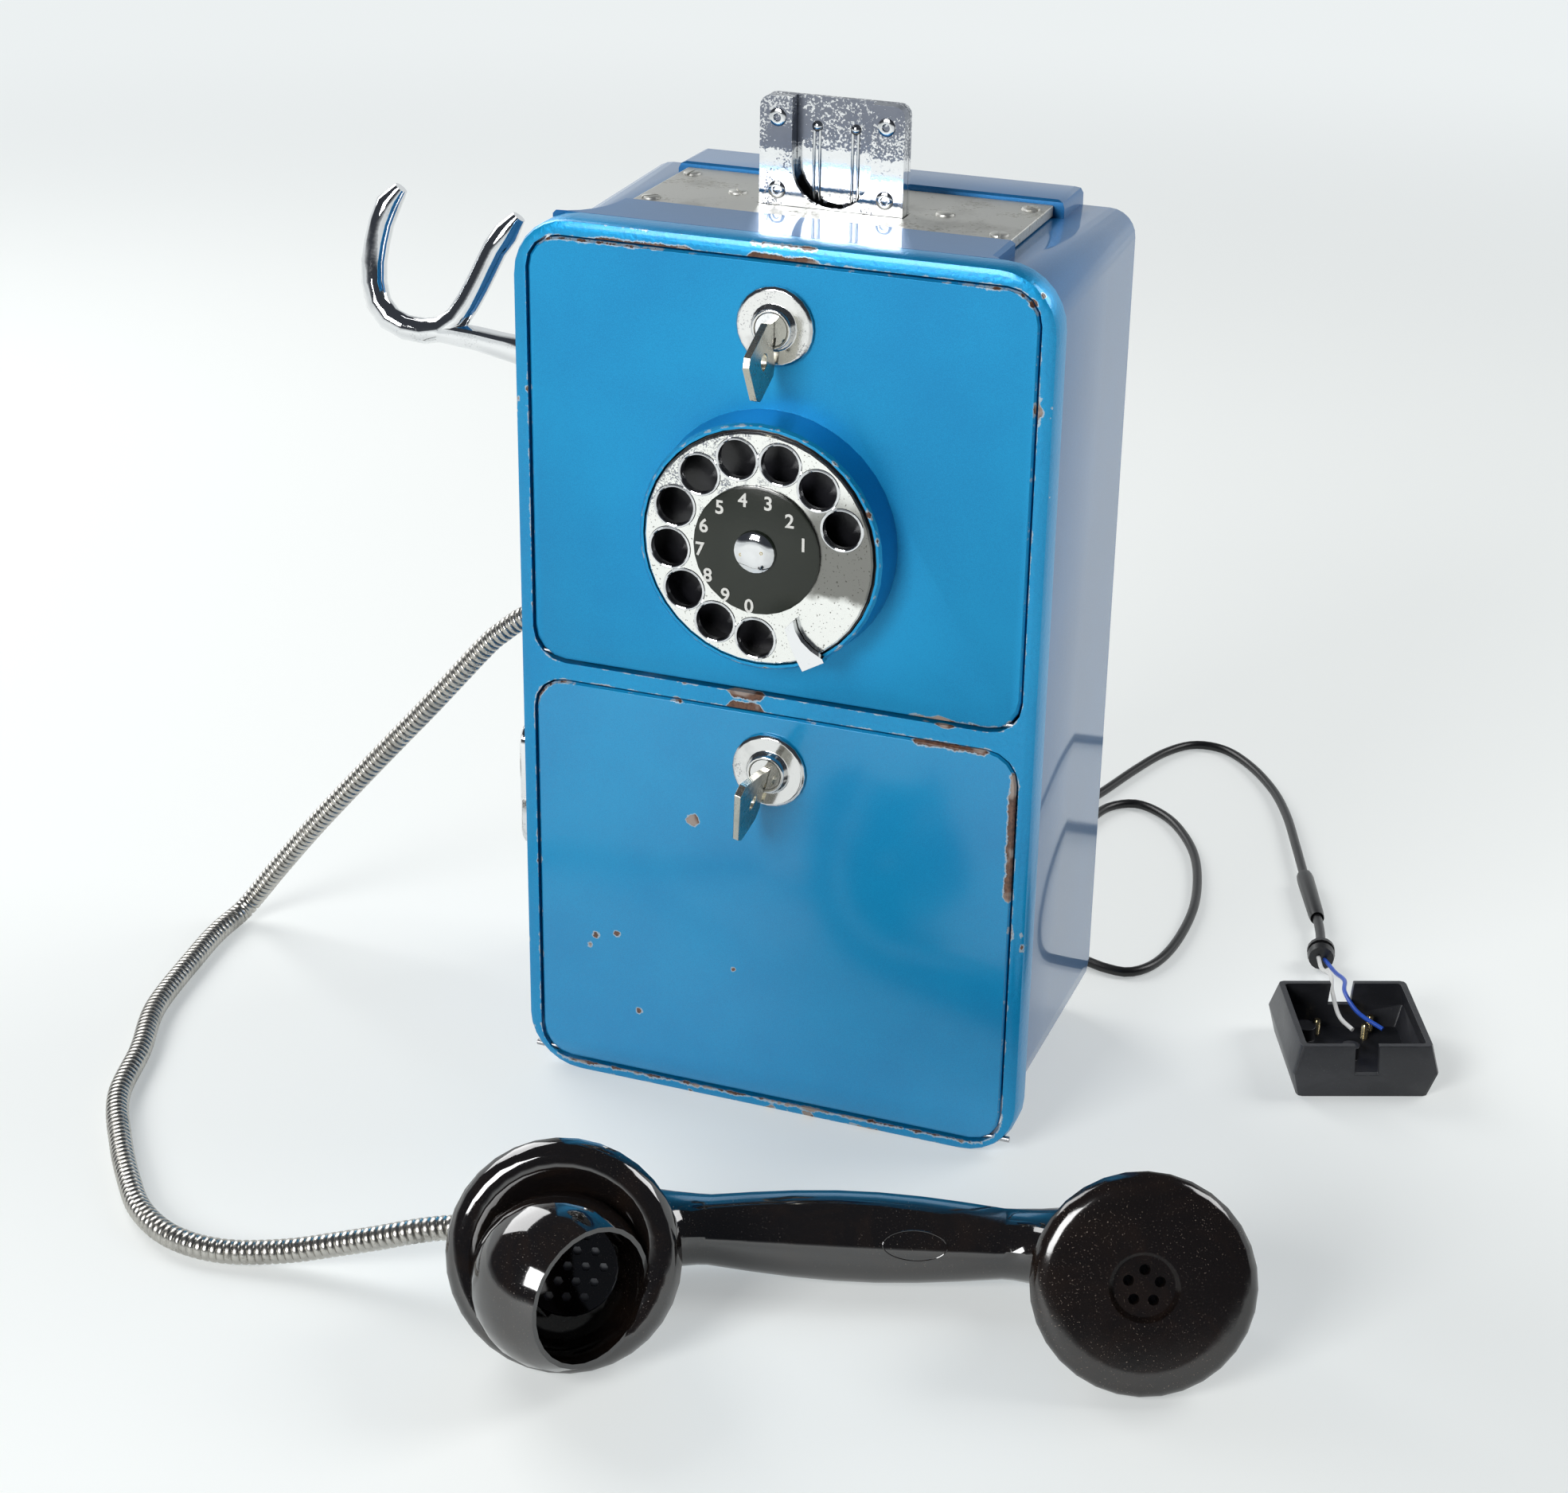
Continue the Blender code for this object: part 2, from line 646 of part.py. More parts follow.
def chute_outline():
    radii = [SEAT, CHUTE_CORNER, CHUTE_CORNER, SEAT]
    return rounded_rectangle(-CHUTE_W / 2, CHUTE_W / 2, SHOULDER - CHUTE_BELOW, CHUTE_TOP, radii)


def chute():
    front = place("chute_front_frame", slab(chute_outline(), CHUTE_Y, CHUTE_Y + CHUTE_PLATE_T), CHROME)
    half = RECESS_W / 2
    floor = PLATE_TOP + RECESS_FLOOR
    outline = [(half, CHUTE_TOP + OVERRUN), (-half, CHUTE_TOP + OVERRUN)]
    for step in range(13):
        angle = math.radians(180 + 180 * step / 12)
        outline.append((half * math.cos(angle), floor + half + half * math.sin(angle)))
    cut(front, slab(outline, CHUTE_Y - OVERRUN, CHUTE_Y + CHUTE_PLATE_T + OVERRUN))
    groove_y = CHUTE_Y + CHUTE_PLATE_T - COIN_GROOVE_D
    low = (-COIN_SLOT_W / 2, groove_y, SHOULDER - CHUTE_BELOW - OVERRUN)
    cut(front, block(low, (COIN_SLOT_W / 2, CHUTE_Y + CHUTE_PLATE_T + OVERRUN, floor + half + OVERRUN)))
    back_y = CHUTE_Y + CHUTE_PLATE_T + SEAT
    place("chute_back_plate", slab(chute_outline(), back_y, back_y + CHUTE_BACK_T), CHROME)


# Doors with their locks and the dial


def door(name, sill, head, pivot):
    radius = DOOR_T / 2
    stations = [(0, DOOR_EDGE), (DOOR_EDGE, 0), (radius, 0), (DOOR_T - DOOR_EDGE, 0), (DOOR_T, DOOR_EDGE)]
    rings = []
    for depth, inset in stations:
        lift = radius - math.sqrt(max(radius**2 - (depth - radius) ** 2, 0))
        corner = [DOOR_CORNER - inset] * 4
        outline = rounded_rectangle(
            -DOOR_HALF_W + inset, DOOR_HALF_W - inset, sill + DOOR_GAP + lift, head - DOOR_GAP - inset, corner
        )
        rings.append(upright(outline, FRONT + depth))
    panel = place(name, loft(rings), BLUE_PAINT, pivot)
    for side in (-1, 1):
        cut(panel, hinge_bore(sill, side))
    return panel


def door_lock(level, lock_z, bow_shares, door_pivot, key_pivot, panel):
    bow = [(depth * KEY_SIZE, height * KEY_SIZE) for depth, height in bow_shares]
    centre = Vector((0, FRONT, lock_z))
    inward = Vector((0, 1, 0))
    cut(panel, cylinder(centre - inward * OVERRUN, inward, DOOR_T + OVERRUN * 2, LOCK_BODY_R + SEAT, 24))
    profile = [
        (LOCK_BODY_BACK, PLUG_R + RUN),
        (LOCK_BODY_BACK, LOCK_BODY_R),
        (-SEAT, LOCK_BODY_R),
        (-SEAT, ESCUTCHEON_R),
        (-ESCUTCHEON_T * 0.6, ESCUTCHEON_R),
        (-ESCUTCHEON_T, ESCUTCHEON_R * 0.93),
        (-ESCUTCHEON_T, GUARD_R),
        (-GUARD_PROUD, GUARD_TIP_R),
        (-GUARD_PROUD, PLUG_R + RUN),
    ]
    place(f"{level}_lock_body", revolve(profile, centre, inward, 24, closed=True), CHROME, door_pivot)
    cam_y = LOCK_BODY_BACK + SEAT
    plug_start = centre - inward * (GUARD_PROUD - SEAT)
    plug = place(
        f"{level}_lock_plug",
        cylinder(plug_start, inward, GUARD_PROUD - SEAT + LOCK_BODY_BACK, PLUG_R, 24),
        BRASS if level == "lower" else CHROME,
        key_pivot,
    )
    turn = Matrix.Rotation(math.radians(KEY_TURNS_DEG[level]), 4, "Y")
    about = Matrix.Translation(centre) @ turn @ Matrix.Translation(-centre)
    slot_half = KEY_T / 2 + RUN
    blade_half = KEY_BLADE_H / 2 + RUN
    slot = block(
        centre + Vector((-slot_half, -GUARD_PROUD - OVERRUN, -blade_half)),
        centre + Vector((slot_half, KEY_BLADE_IN + RUN, blade_half)),
    )
    bmesh.ops.transform(slot, matrix=about, verts=slot.verts)
    cut(plug, slot)
    ends = [CAM_W / 2.2] * 4
    cam_outline = rounded_rectangle(-CAM_W / 2, CAM_REACH, lock_z - CAM_W / 2, lock_z + CAM_W / 2, ends)
    place(f"{level}_lock_cam", slab(cam_outline, FRONT + cam_y, FRONT + cam_y + CAM_T), STEEL, key_pivot)
    blade = [(KEY_BLADE_IN, -KEY_BLADE_H / 2), (KEY_BLADE_IN, KEY_BLADE_H / 2)]
    outline = [(FRONT + depth, lock_z + height) for depth, height in blade + bow]
    key = loft([[Vector((x, y, z)) for y, z in outline] for x in (-KEY_T / 2, KEY_T / 2)])
    bmesh.ops.transform(key, matrix=about, verts=key.verts)
    made = place(f"{level}_key", key, ZINC, key_pivot)
    middle_y = sum(y for y, z in bow) / len(bow)
    middle_z = sum(z for y, z in bow) / len(bow)
    eye = cylinder(centre + Vector((-KEY_T, middle_y, middle_z)), (1, 0, 0), KEY_T * 2, KEY_HOLE_R, 12)
    bmesh.ops.transform(eye, matrix=about, verts=eye.verts)
    cut(made, eye)


# Key bows beyond the lock's face, as (depth, height) in shares of the key's size
UPPER_BOW_SHARES = [
    (-0.30, 0.13),
    (-0.50, 0.17),
    (-1.20, -0.16),
    (-1.26, -0.32),
    (-0.93, -0.92),
    (-0.77, -0.98),
    (-0.22, -0.72),
    (-0.16, -0.57),
    (-0.30, -0.13),
]
LOWER_BOW_SHARES = [
    (-0.30, 0.13),
    (-0.55, 0.21),
    (-1.43, 0.36),
    (-1.58, 0.22),
    (-0.94, -0.91),
    (-0.78, -0.99),
    (-0.25, -0.82),
    (-0.17, -0.65),
    (-0.30, -0.13),
]
KEY_TURNS_DEG = {"upper": 0.0, "lower": 14.0}


def dial(panel, door_pivot, wheel_pivot):
    outward = Vector((0, -1, 0))
    inward = -outward
    ring = [
        (-DOOR_T / 2, RING_INNER_R),
        (-DOOR_T / 2, RING_R),
        (0, RING_R),
        (RING_PROUD - RING_ROUND, RING_RIM_R + RING_ROUND / 3),
        (RING_PROUD, RING_RIM_R - RING_ROUND / 2),
        (RING_PROUD, RING_INNER_R),
    ]
    weld(panel, revolve(ring, DIAL, outward, 40, closed=True))
    cut(panel, cylinder(DIAL + outward * OVERRUN, inward, DOOR_T + OVERRUN * 2, RING_INNER_R, 40))
    cup_r = RING_INNER_R - SEAT
    cup_front = WHEEL_PROUD - WHEEL_T - SEAT * 2
    cup = [
        (CUP_FLOOR_PROUD - CUP_WALL, SHAFT_R + RUN),
        (CUP_FLOOR_PROUD - CUP_WALL, cup_r),
        (cup_front, cup_r),
        (cup_front, cup_r - CUP_WALL),
        (CUP_FLOOR_PROUD, cup_r - CUP_WALL),
        (CUP_FLOOR_PROUD, SHAFT_R + RUN),
    ]
    place("dial_cup", revolve(cup, DIAL, outward, 28, closed=True), BLACK_PLASTIC, door_pivot)
    case_front = CUP_FLOOR_PROUD - CUP_WALL - SEAT
    case = [
        (-CASE_BACK + CUP_WALL, SHAFT_R + RUN),
        (-CASE_BACK + CUP_WALL, CASE_R * 0.9),
        (-CASE_BACK + CUP_WALL * 3, CASE_R),
        (case_front, CASE_R),
        (case_front, SHAFT_R + RUN),
    ]
    place("dial_movement", revolve(case, DIAL, outward, 20, closed=True), BRASS, door_pivot)
    wheel_back = WHEEL_PROUD - WHEEL_T
    edge = WHEEL_T / 3
    wheel = [(wheel_back, WHEEL_R), (WHEEL_PROUD - edge, WHEEL_R), (WHEEL_PROUD, WHEEL_R - edge)]
    finger_wheel = place("finger_wheel", revolve(wheel, DIAL, outward, 40), CHROME, wheel_pivot)
    for index in range(FINGER_HOLES):
        angle = math.radians(FIRST_HOLE_DEG + HOLE_STEP_DEG * index)
        across = Vector((math.cos(angle), 0, math.sin(angle))) * FINGER_CIRCLE_R
        start = DIAL + across + outward * (WHEEL_PROUD + OVERRUN)
        cut(finger_wheel, cylinder(start, inward, WHEEL_T + OVERRUN * 2, FINGER_HOLE_R, 12))
    shaft = cylinder(DIAL + outward * (wheel_back - SEAT), inward, CASE_BACK + wheel_back - SEAT, SHAFT_R, 16)
    place("dial_shaft", shaft, STEEL, wheel_pivot)
    card_back = WHEEL_PROUD + SEAT
    card = [(card_back, CARD_R), (card_back + CARD_T * 0.7, CARD_R), (card_back + CARD_T, CARD_R * 0.97)]
    place("number_card", revolve(card, DIAL, outward, 32), BLACK_PLASTIC, wheel_pivot)
    cap_base = WHEEL_PROUD + SEAT * 2 + CARD_T
    cap = [(cap_base + CAP_H * share, CAP_R * width) for share, width in CAP_DOME_SHARES]
    place("hub_cap", revolve(cap, DIAL, outward, 24), CHROME, wheel_pivot)
    bottom = WHEEL_PROUD + STOP_OVER_WHEEL
    blade = slab(stop_outline(STOP_SHARES), FRONT - bottom - STOP_T, FRONT - bottom)
    stop = place("finger_stop", blade, CHROME, door_pivot)
    weld(stop, slab(stop_outline(STOP_FOOT_SHARES), FRONT - bottom - STOP_T / 2, FRONT - RING_PROUD - SEAT))


def stop_outline(shares):
    return [(DIAL.x + x * WHEEL_R, DIAL.z + z * WHEEL_R) for x, z in shares]


# Outlines of the finger stop and of its foot on the ring, as X and Z from the dial's centre in shares of
# the wheel's radius
STOP_SHARES = [
    (0.276, -0.626),
    (0.292, -0.676),
    (0.326, -0.768),
    (0.368, -0.863),
    (0.437, -0.982),
    (0.624, -0.874),
    (0.608, -0.842),
    (0.508, -0.789),
    (0.424, -0.718),
    (0.371, -0.634),
    (0.347, -0.545),
]
STOP_FOOT_SHARES = [(0.424, -0.953), (0.437, -0.982), (0.624, -0.874), (0.606, -0.846)]
CAP_DOME_SHARES = [(0, 1.0), (0.45, 0.97), (0.8, 0.8), (0.95, 0.5), (1.0, 0.22)]

# Switch hook


# Centreline of the fork's U from the outer tip round to the inner one, as X and Z from the pivot in
# shares of the reach
FORK_SHARES = [
    (-0.9130, 0.5507),
    (-0.9652, 0.4780),
    (-0.9918, 0.3695),
    (-1.0000, 0.2723),
    (-0.9826, 0.1750),
    (-0.9324, 0.1116),
    (-0.8444, 0.0819),
    (-0.7482, 0.0870),
    (-0.6827, 0.1208),
    (-0.6274, 0.2006),
    (-0.5824, 0.2938),
    (-0.5384, 0.3900),
    (-0.4903, 0.4565),
    (-0.4596, 0.4985),
]
# Centreline of the arm from under the fork to the pivot, with half heights, in the same shares
ARM_SHARES = [
    (-0.7267, 0.0880, 0.0348),
    (-0.5855, 0.0778, 0.0379),
    (-0.4893, 0.0635, 0.0430),
    (-0.3480, 0.0450, 0.0532),
    (-0.1576, 0.0205, 0.0563),
    (0.0000, 0.0000, 0.0461),
]


def hook(pivot):
    lean = math.tan(math.radians(FORK_LEAN_DEG))
    lowest = min(z for x, z in FORK_SHARES)
    route = []
    for x, z in FORK_SHARES:
        y = HOOK_Y + (z - lowest) * FORK_REACH * lean
        route.append((HOOK_PIVOT_X + x * FORK_REACH, y, HOOK_PIVOT_Z + z * FORK_REACH))
    points, length = smooth_route(route, FORK_ROD_R * 1.6)
    radii = [FORK_ROD_R] * len(points)
    radii[0] = radii[-1] = FORK_ROD_R * 0.55
    rings = sweep_rings(points, radii, 12)
    fork = place("hook_fork", loft(rings), CHROME, pivot)
    rings = []
    for x, z, half in ARM_SHARES:
        place_x = HOOK_PIVOT_X + x * FORK_REACH
        rings.append(arm_section(place_x, HOOK_PIVOT_Z + z * FORK_REACH, half * FORK_REACH, HOOK_ARM_W / 2))
    weld(fork, loft(rings))
    hub = (HOOK_PIVOT_X, HOOK_Y - HOOK_ARM_W / 2, HOOK_PIVOT_Z)
    weld(fork, cylinder(hub, (0, 1, 0), HOOK_ARM_W, HUB_R, 20))
    tail = block(
        (HOOK_PIVOT_X, HOOK_Y - HOOK_ARM_W / 3, HOOK_PIVOT_Z - LEVER_T / 2),
        (HOOK_PIVOT_X + LEVER_REACH, HOOK_Y + HOOK_ARM_W / 3, HOOK_PIVOT_Z + LEVER_T / 2),
    )
    weld(fork, tail)
    bore = (HOOK_PIVOT_X, HOOK_Y - HOOK_ARM_W, HOOK_PIVOT_Z)
    cut(fork, cylinder(bore, (0, 1, 0), HOOK_ARM_W * 2, HOOK_PIN_R + RUN, 16))


def arm_section(x, z, half_h, half_w):
    section = []
    for step in range(12):
        angle = math.tau * step / 12
        c, s = math.cos(angle), math.sin(angle)
        across = half_w * math.copysign(abs(c) ** 0.6, c)
        rise = half_h * math.copysign(abs(s) ** 0.6, s)
        section.append(Vector((x, HOOK_Y + across, z + rise)))
    return section


def hook_parts():
    ear_y = BRACKET_W / 2
    base_x = -INNER_HALF_W + SEAT
    ear_x = HOOK_PIVOT_X + HUB_R + BRACKET_T
    low_z = HOOK_PIVOT_Z - BRACKET_H / 2
    high_z = HOOK_PIVOT_Z + BRACKET_H / 2
    outer = block((base_x, HOOK_Y - ear_y, low_z), (ear_x, HOOK_Y + ear_y, high_z))
    bracket = place("hook_bracket", outer, STEEL)
    inner_low = (base_x + BRACKET_T, HOOK_Y - ear_y + BRACKET_T, low_z - OVERRUN)
    cut(bracket, block(inner_low, (ear_x + OVERRUN, HOOK_Y + ear_y - BRACKET_T, high_z + OVERRUN)))
    window_low = (base_x - OVERRUN, HOOK_Y - HOOK_SLOT_W / 2, HOOK_PIVOT_Z - HOOK_SLOT_H / 2)
    window_high = (base_x + BRACKET_T * 2, HOOK_Y + HOOK_SLOT_W / 2, HOOK_PIVOT_Z + HOOK_SLOT_H / 2)
    cut(bracket, block(window_low, window_high))
    start = (HOOK_PIVOT_X, HOOK_Y - ear_y - OVERRUN, HOOK_PIVOT_Z)
    cut(bracket, cylinder(start, (0, 1, 0), BRACKET_W + OVERRUN * 2, HOOK_PIN_R + SEAT, 16))
    place("hook_pin", cylinder(start, (0, 1, 0), BRACKET_W + OVERRUN * 2, HOOK_PIN_R, 16), STEEL)
    reach = HOOK_PIVOT_X + LEVER_REACH
    drop = LEVER_REACH * math.sin(math.radians(HOOK_TRAVEL_DEG)) + LEVER_T
    stack_low = (reach - SWITCH_D / 2, HOOK_Y - SWITCH_D / 2, HOOK_PIVOT_Z + drop)
    stack_high = (reach + SWITCH_D / 2, chassis_y() - SEAT, HOOK_PIVOT_Z + drop + SWITCH_H)
    place("switch_stack", block(stack_low, stack_high), BAKELITE)


# Coin return


def return_outline(inset):
    """Outline of the coin return in Y and Z."""
    y0 = FRONT + RETURN_FRONT
    y1 = y0 + RETURN_DEPTH
    half_h = RETURN_H / 2 - inset
    radii = [RETURN_CORNER - inset] * 4
    return rounded_rectangle(y0 + inset, y1 - inset, RETURN_Z - half_h, RETURN_Z + half_h, radii)


def sideways(outline, x0, x1):
    return loft([[Vector((x, y, z)) for y, z in outline] for x in (x0, x1)])


def coin_return():
    outer = -HOUSING_W / 2 - SEAT
    edge = RETURN_WALL / 3
    rings = []
    for x, inset in ((outer, 0), (outer - RETURN_PROUD + edge, 0), (outer - RETURN_PROUD, edge)):
        rings.append([Vector((x, y, z)) for y, z in return_outline(inset)])
    bezel = place("coin_return_bezel", loft(rings), CHROME)
    end = -INNER_HALF_W + RETURN_POCKET
    weld(bezel, sideways(return_outline(RETURN_WALL), outer - OVERRUN, end))
    cut(bezel, sideways(return_outline(RETURN_WALL * 2), outer - RETURN_PROUD - OVERRUN, end - RETURN_WALL))


# Back plate and inner pieces


def chassis_y():
    return BACK_PLATE_Y - SEAT - CHASSIS_T


def runway_y():
    return CHUTE_Y + CHUTE_PLATE_T - COIN_GROOVE_D / 2


def back_plate():
    radii = [BOTTOM_CORNER, REAR_ROUND, REAR_ROUND, BOTTOM_CORNER]
    outline = rounded_rectangle(-BACK_PLATE_HALF_W, BACK_PLATE_HALF_W, 0, BACK_PLATE_TOP, radii)
    plate = place("back_plate", slab(outline, BACK_PLATE_Y, BACK_PLATE_Y + BACK_PLATE_T), STEEL)
    for x in (-KEYHOLE_X, KEYHOLE_X):
        start = (x, BACK_PLATE_Y - OVERRUN, BACK_PLATE_TOP - KEYHOLE_DROP)
        cut(plate, cylinder(start, (0, 1, 0), BACK_PLATE_T + OVERRUN * 2, KEYHOLE_R, 16))
    start = (INLET_X, BACK_PLATE_Y - OVERRUN, INLET_Z)
    cut(plate, cylinder(start, (0, 1, 0), BACK_PLATE_T + OVERRUN * 2, INLET_R + SEAT, 16))


def inner_parts():
    y1 = BACK_PLATE_Y - SEAT
    y0 = chassis_y()
    z0 = UPPER_SILL + SEAT
    sheet = block((-CHASSIS_HALF_W, y0 - CHASSIS_FLANGE, z0), (CHASSIS_HALF_W, y1, CEILING - SEAT))
    chassis = place("mechanism_chassis", sheet, STEEL)
    bend_low = (-CHASSIS_HALF_W - OVERRUN, y0 - CHASSIS_FLANGE - OVERRUN, z0 + CHASSIS_T)
    cut(chassis, block(bend_low, (CHASSIS_HALF_W + OVERRUN, y0, CEILING)))
    seat_z = z0 + CHASSIS_T + SEAT
    half_w = COIN_SLOT_W / 2 + RUNWAY_WALL
    half_t = COIN_SLOT_T / 2 + RUNWAY_WALL
    top = SHOULDER - CHUTE_BELOW - SEAT
    middle = runway_y()
    tube = block((-half_w, middle - half_t, z0), (half_w, middle + half_t, top))
    runway = place("coin_runway", tube, ZINC)
    way_low = (-COIN_SLOT_W / 2, middle - COIN_SLOT_T / 2, z0 - OVERRUN)
    cut(runway, block(way_low, (COIN_SLOT_W / 2, middle + COIN_SLOT_T / 2, top + OVERRUN)))
    relay_y = middle + half_t + SEAT
    relay_low = (-RELAY_W / 2, relay_y, seat_z)
    relay = place("coin_relay", block(relay_low, (RELAY_W / 2, relay_y + RELAY_D, seat_z + RELAY_H)), STEEL)
    core = (0, relay_y + RELAY_D / 2, seat_z + RELAY_H - OVERRUN)
    weld(relay, cylinder(core, (0, 0, 1), RELAY_D, RELAY_D / 3, 16))
    coil_y = y0 - SEAT - COIL_R
    ends = COIL_R * 0.8
    profile = [(0, COIL_R), (COIL_FLANGE, COIL_R), (COIL_FLANGE, ends)]
    profile += [(COIL_L - COIL_FLANGE, ends), (COIL_L - COIL_FLANGE, COIL_R), (COIL_L, COIL_R)]
    place("induction_coil", revolve(profile, (COIL_X, coil_y, seat_z), (0, 0, 1), 16), COPPER_COIL)
    low = (-COIL_X - CAPACITOR_W / 2, y0 - SEAT - CAPACITOR_D, seat_z)
    place("capacitor", block(low, (low[0] + CAPACITOR_W, y0 - SEAT, seat_z + CAPACITOR_H)), ZINC)
    low = (COIL_X - TERMINAL_W / 2, y0 - SEAT - TERMINAL_D, seat_z + COIL_L + TERMINAL_H)
    high = (low[0] + TERMINAL_W, y0 - SEAT, low[2] + TERMINAL_H)
    terminal = place("terminal_block", block(low, high), BAKELITE)
    for share in (0.25, 0.5, 0.75):
        head = (low[0] + TERMINAL_W * share, low[1] - TERMINAL_SCREW_OUT, low[2] + TERMINAL_H / 2)
        weld(terminal, cylinder(head, (0, 1, 0), TERMINAL_SCREW_OUT + OVERRUN, TERMINAL_H / 5, 8))
    floor = FLOOR_INSIDE + SEAT
    left = -INNER_HALF_W + RETURN_POCKET + CASH_BOX_GAP
    top = floor + (LOWER_HEAD - FLOOR_INSIDE) * CASH_BOX_SHARE
    low = (left, FRONT + CASH_BOX_FRONT, floor)
    high = (INNER_HALF_W - CASH_BOX_INSET, HOUSING_Y1 - OVERRUN, top)
    cash_box = place("cash_box", block(low, high), ZINC)
    inner_low = [value + CASH_BOX_WALL for value in low]
    inner_high = (high[0] - CASH_BOX_WALL, high[1] - CASH_BOX_WALL, high[2] + OVERRUN)
    cut(cash_box, block(inner_low, inner_high))


# Hose, handset, line cord and wall box


# Centre of the hose from the gland down to the floor and round to the handset, in millimetres
HOSE_ROUTE = [
    (-88.0, 46.0, 151.8),
    (-96.0, 46.0, 151.6),
    (-104.5, 46.0, 149.6),
    (-113.3, 46.0, 144.6),
    (-120.6, 46.0, 138.6),
    (-127.6, 46.0, 131.9),
    (-149.2, 46.2, 106.7),
    (-174.3, 46.6, 78.3),
    (-200.4, 47.6, 48.2),
    (-219.0, 49.5, 25.5),
    (-229.5, 50.2, 12.0),
    (-234.5, 46.0, 5.2),
    (-235.5, 30.0, 4.1),
    (-233.3, 11.2, 4.1),
    (-226.5, -28.9, 4.1),
    (-215.1, -57.9, 4.1),
    (-205.3, -87.5, 4.1),
    (-188.3, -113.1, 4.1),
    (-172.6, -132.8, 4.1),
    (-161.5, -144.5, 4.1),
    (-148.2, -152.8, 4.1),
    (-135.6, -155.9, 4.1),
    (-123.7, -155.2, 4.1),
    (-112.6, -152.6, 5.0),
    (-101.1, -149.8, 7.0),
    (-88.9, -147.2, 10.5),
    (-75.0, -144.6, 14.8),
    (-63.5, -142.2, 18.6),
    (-52.6, -139.45, 21.0),
    (-44.75, -137.01, 21.0),
]
# Centre of the line cord from the back plate over the floor to the grommet, in millimetres
CORD_ROUTE = [
    (30.0, 109.5, 40.0),
    (30.1, 114.0, 39.6),
    (30.4, 124.0, 34.0),
    (30.9, 133.0, 23.0),
    (31.6, 141.0, 12.0),
    (32.4, 149.5, 4.8),
    (33.2, 159.0, 2.1),
    (35.0, 182.0, 2.1),
    (38.0, 210.0, 2.1),
    (41.0, 236.0, 2.1),
    (44.0, 256.0, 2.1),
    (48.0, 269.5, 2.1),
    (57.0, 276.5, 2.1),
    (67.6, 272.8, 2.1),
    (78.4, 262.4, 2.1),
    (89.7, 243.0, 2.1),
    (97.2, 220.5, 2.1),
    (102.3, 192.5, 2.1),
    (102.8, 163.6, 2.1),
    (99.5, 143.6, 2.1),
    (92.5, 133.4, 2.1),
    (83.0, 133.0, 2.1),
    (72.0, 136.4, 2.1),
    (60.0, 136.0, 2.1),
    (46.0, 131.0, 2.1),
    (30.0, 126.0, 2.1),
    (15.0, 131.0, 2.1),
    (8.5, 150.0, 2.1),
    (10.0, 184.0, 2.1),
    (18.0, 216.0, 2.1),
    (28.0, 246.0, 2.1),
    (36.0, 266.0, 2.1),
    (41.4, 282.6, 2.1),
    (48.9, 310.8, 2.1),
    (56.2, 332.0, 2.1),
    (66.0, 344.6, 2.1),
    (79.5, 344.6, 2.1),
    (93.8, 332.0, 2.2),
    (108.0, 311.0, 2.6),
    (118.9, 287.1, 3.2),
    (128.9, 258.3, 3.8),
    (137.5, 232.7, 4.2),
    (143.6, 215.2, 4.5),
    (149.7, 197.6, 4.9),
    (153.4, 184.9, 5.3),
    (156.0, 173.0, 5.6),
]
# Bare wires from the grommet over the edge of the wall box, in millimetres
WIRE_ROUTES = {
    "white_wire": [
        (156.9, 163.64, 6.3),
        (160.6, 151.0, 8.6),
        (166.0, 138.0, 13.5),
        (169.0, 125.0, 14.5),
        (174.0, 114.0, 11.0),
        (180.0, 108.5, 9.5),
    ],
    "blue_wire": [
        (159.2, 164.14, 5.6),
        (165.5, 152.0, 7.6),
        (171.0, 139.0, 12.0),
        (173.2, 128.0, 13.2),
        (180.0, 118.0, 11.5),
        (190.0, 113.0, 9.5),
    ],
}


def hose():
    route, total = smooth_route([Vector(p) * MM for p in HOSE_ROUTE], HOSE_R * 2)
    lengths = [0]
    for p, q in zip(route, route[1:]):
        lengths.append(lengths[-1] + (q - p).length)
    plain = HOSE_R * 2
    pitch = (total - plain * 2) / HOSE_RIBS
    stations = [(0, HOSE_R), (plain, HOSE_R)]
    for rib in range(HOSE_RIBS):
        start = plain + pitch * rib
        stations.append((start + pitch * 0.35, HOSE_GROOVE_R))
        stations.append((start + pitch * 0.85, HOSE_R))
    stations.append((total, HOSE_R))
    points = [point_along(route, lengths, distance) for distance, radius in stations]
    outer = sweep_rings(points, [radius for distance, radius in stations], 8)
    inner_points = [route[0]] + route[1:-1] + [route[-1]]
    inner = sweep_rings(inner_points, [HOSE_BORE_R] * len(inner_points), 8)
    rings = outer + list(reversed(inner))
    place("armoured_hose", loft(rings, closed=True), STEEL)
    print("hose length mm", round(total / MM))


def point_along(route, lengths, distance):
    for index in range(1, len(route)):
        if lengths[index] >= distance:
            share = (distance - lengths[index - 1]) / (lengths[index] - lengths[index - 1])
            return route[index - 1].lerp(route[index], share)
    return route[-1]


def hose_gland():
    outward = Vector((-1, 0, 0))
    base = Vector((-HOUSING_W / 2 - SEAT, HOOK_Y, HOSE_EXIT_Z))
    bore = HOSE_BORE_R
    profile = [
        (-HOUSING_WALL, bore),
        (-HOUSING_WALL, HOSE_GLAND_NECK_R),
        (0, HOSE_GLAND_NECK_R),
        (0, HOSE_GLAND_R),
        (HOSE_GLAND_T * 0.6, HOSE_GLAND_R),
        (HOSE_GLAND_T, HOSE_GLAND_R * 0.88),
        (HOSE_GLAND_T, bore),
    ]
    place("hose_gland", revolve(profile, base, outward, 20, closed=True), CHROME)


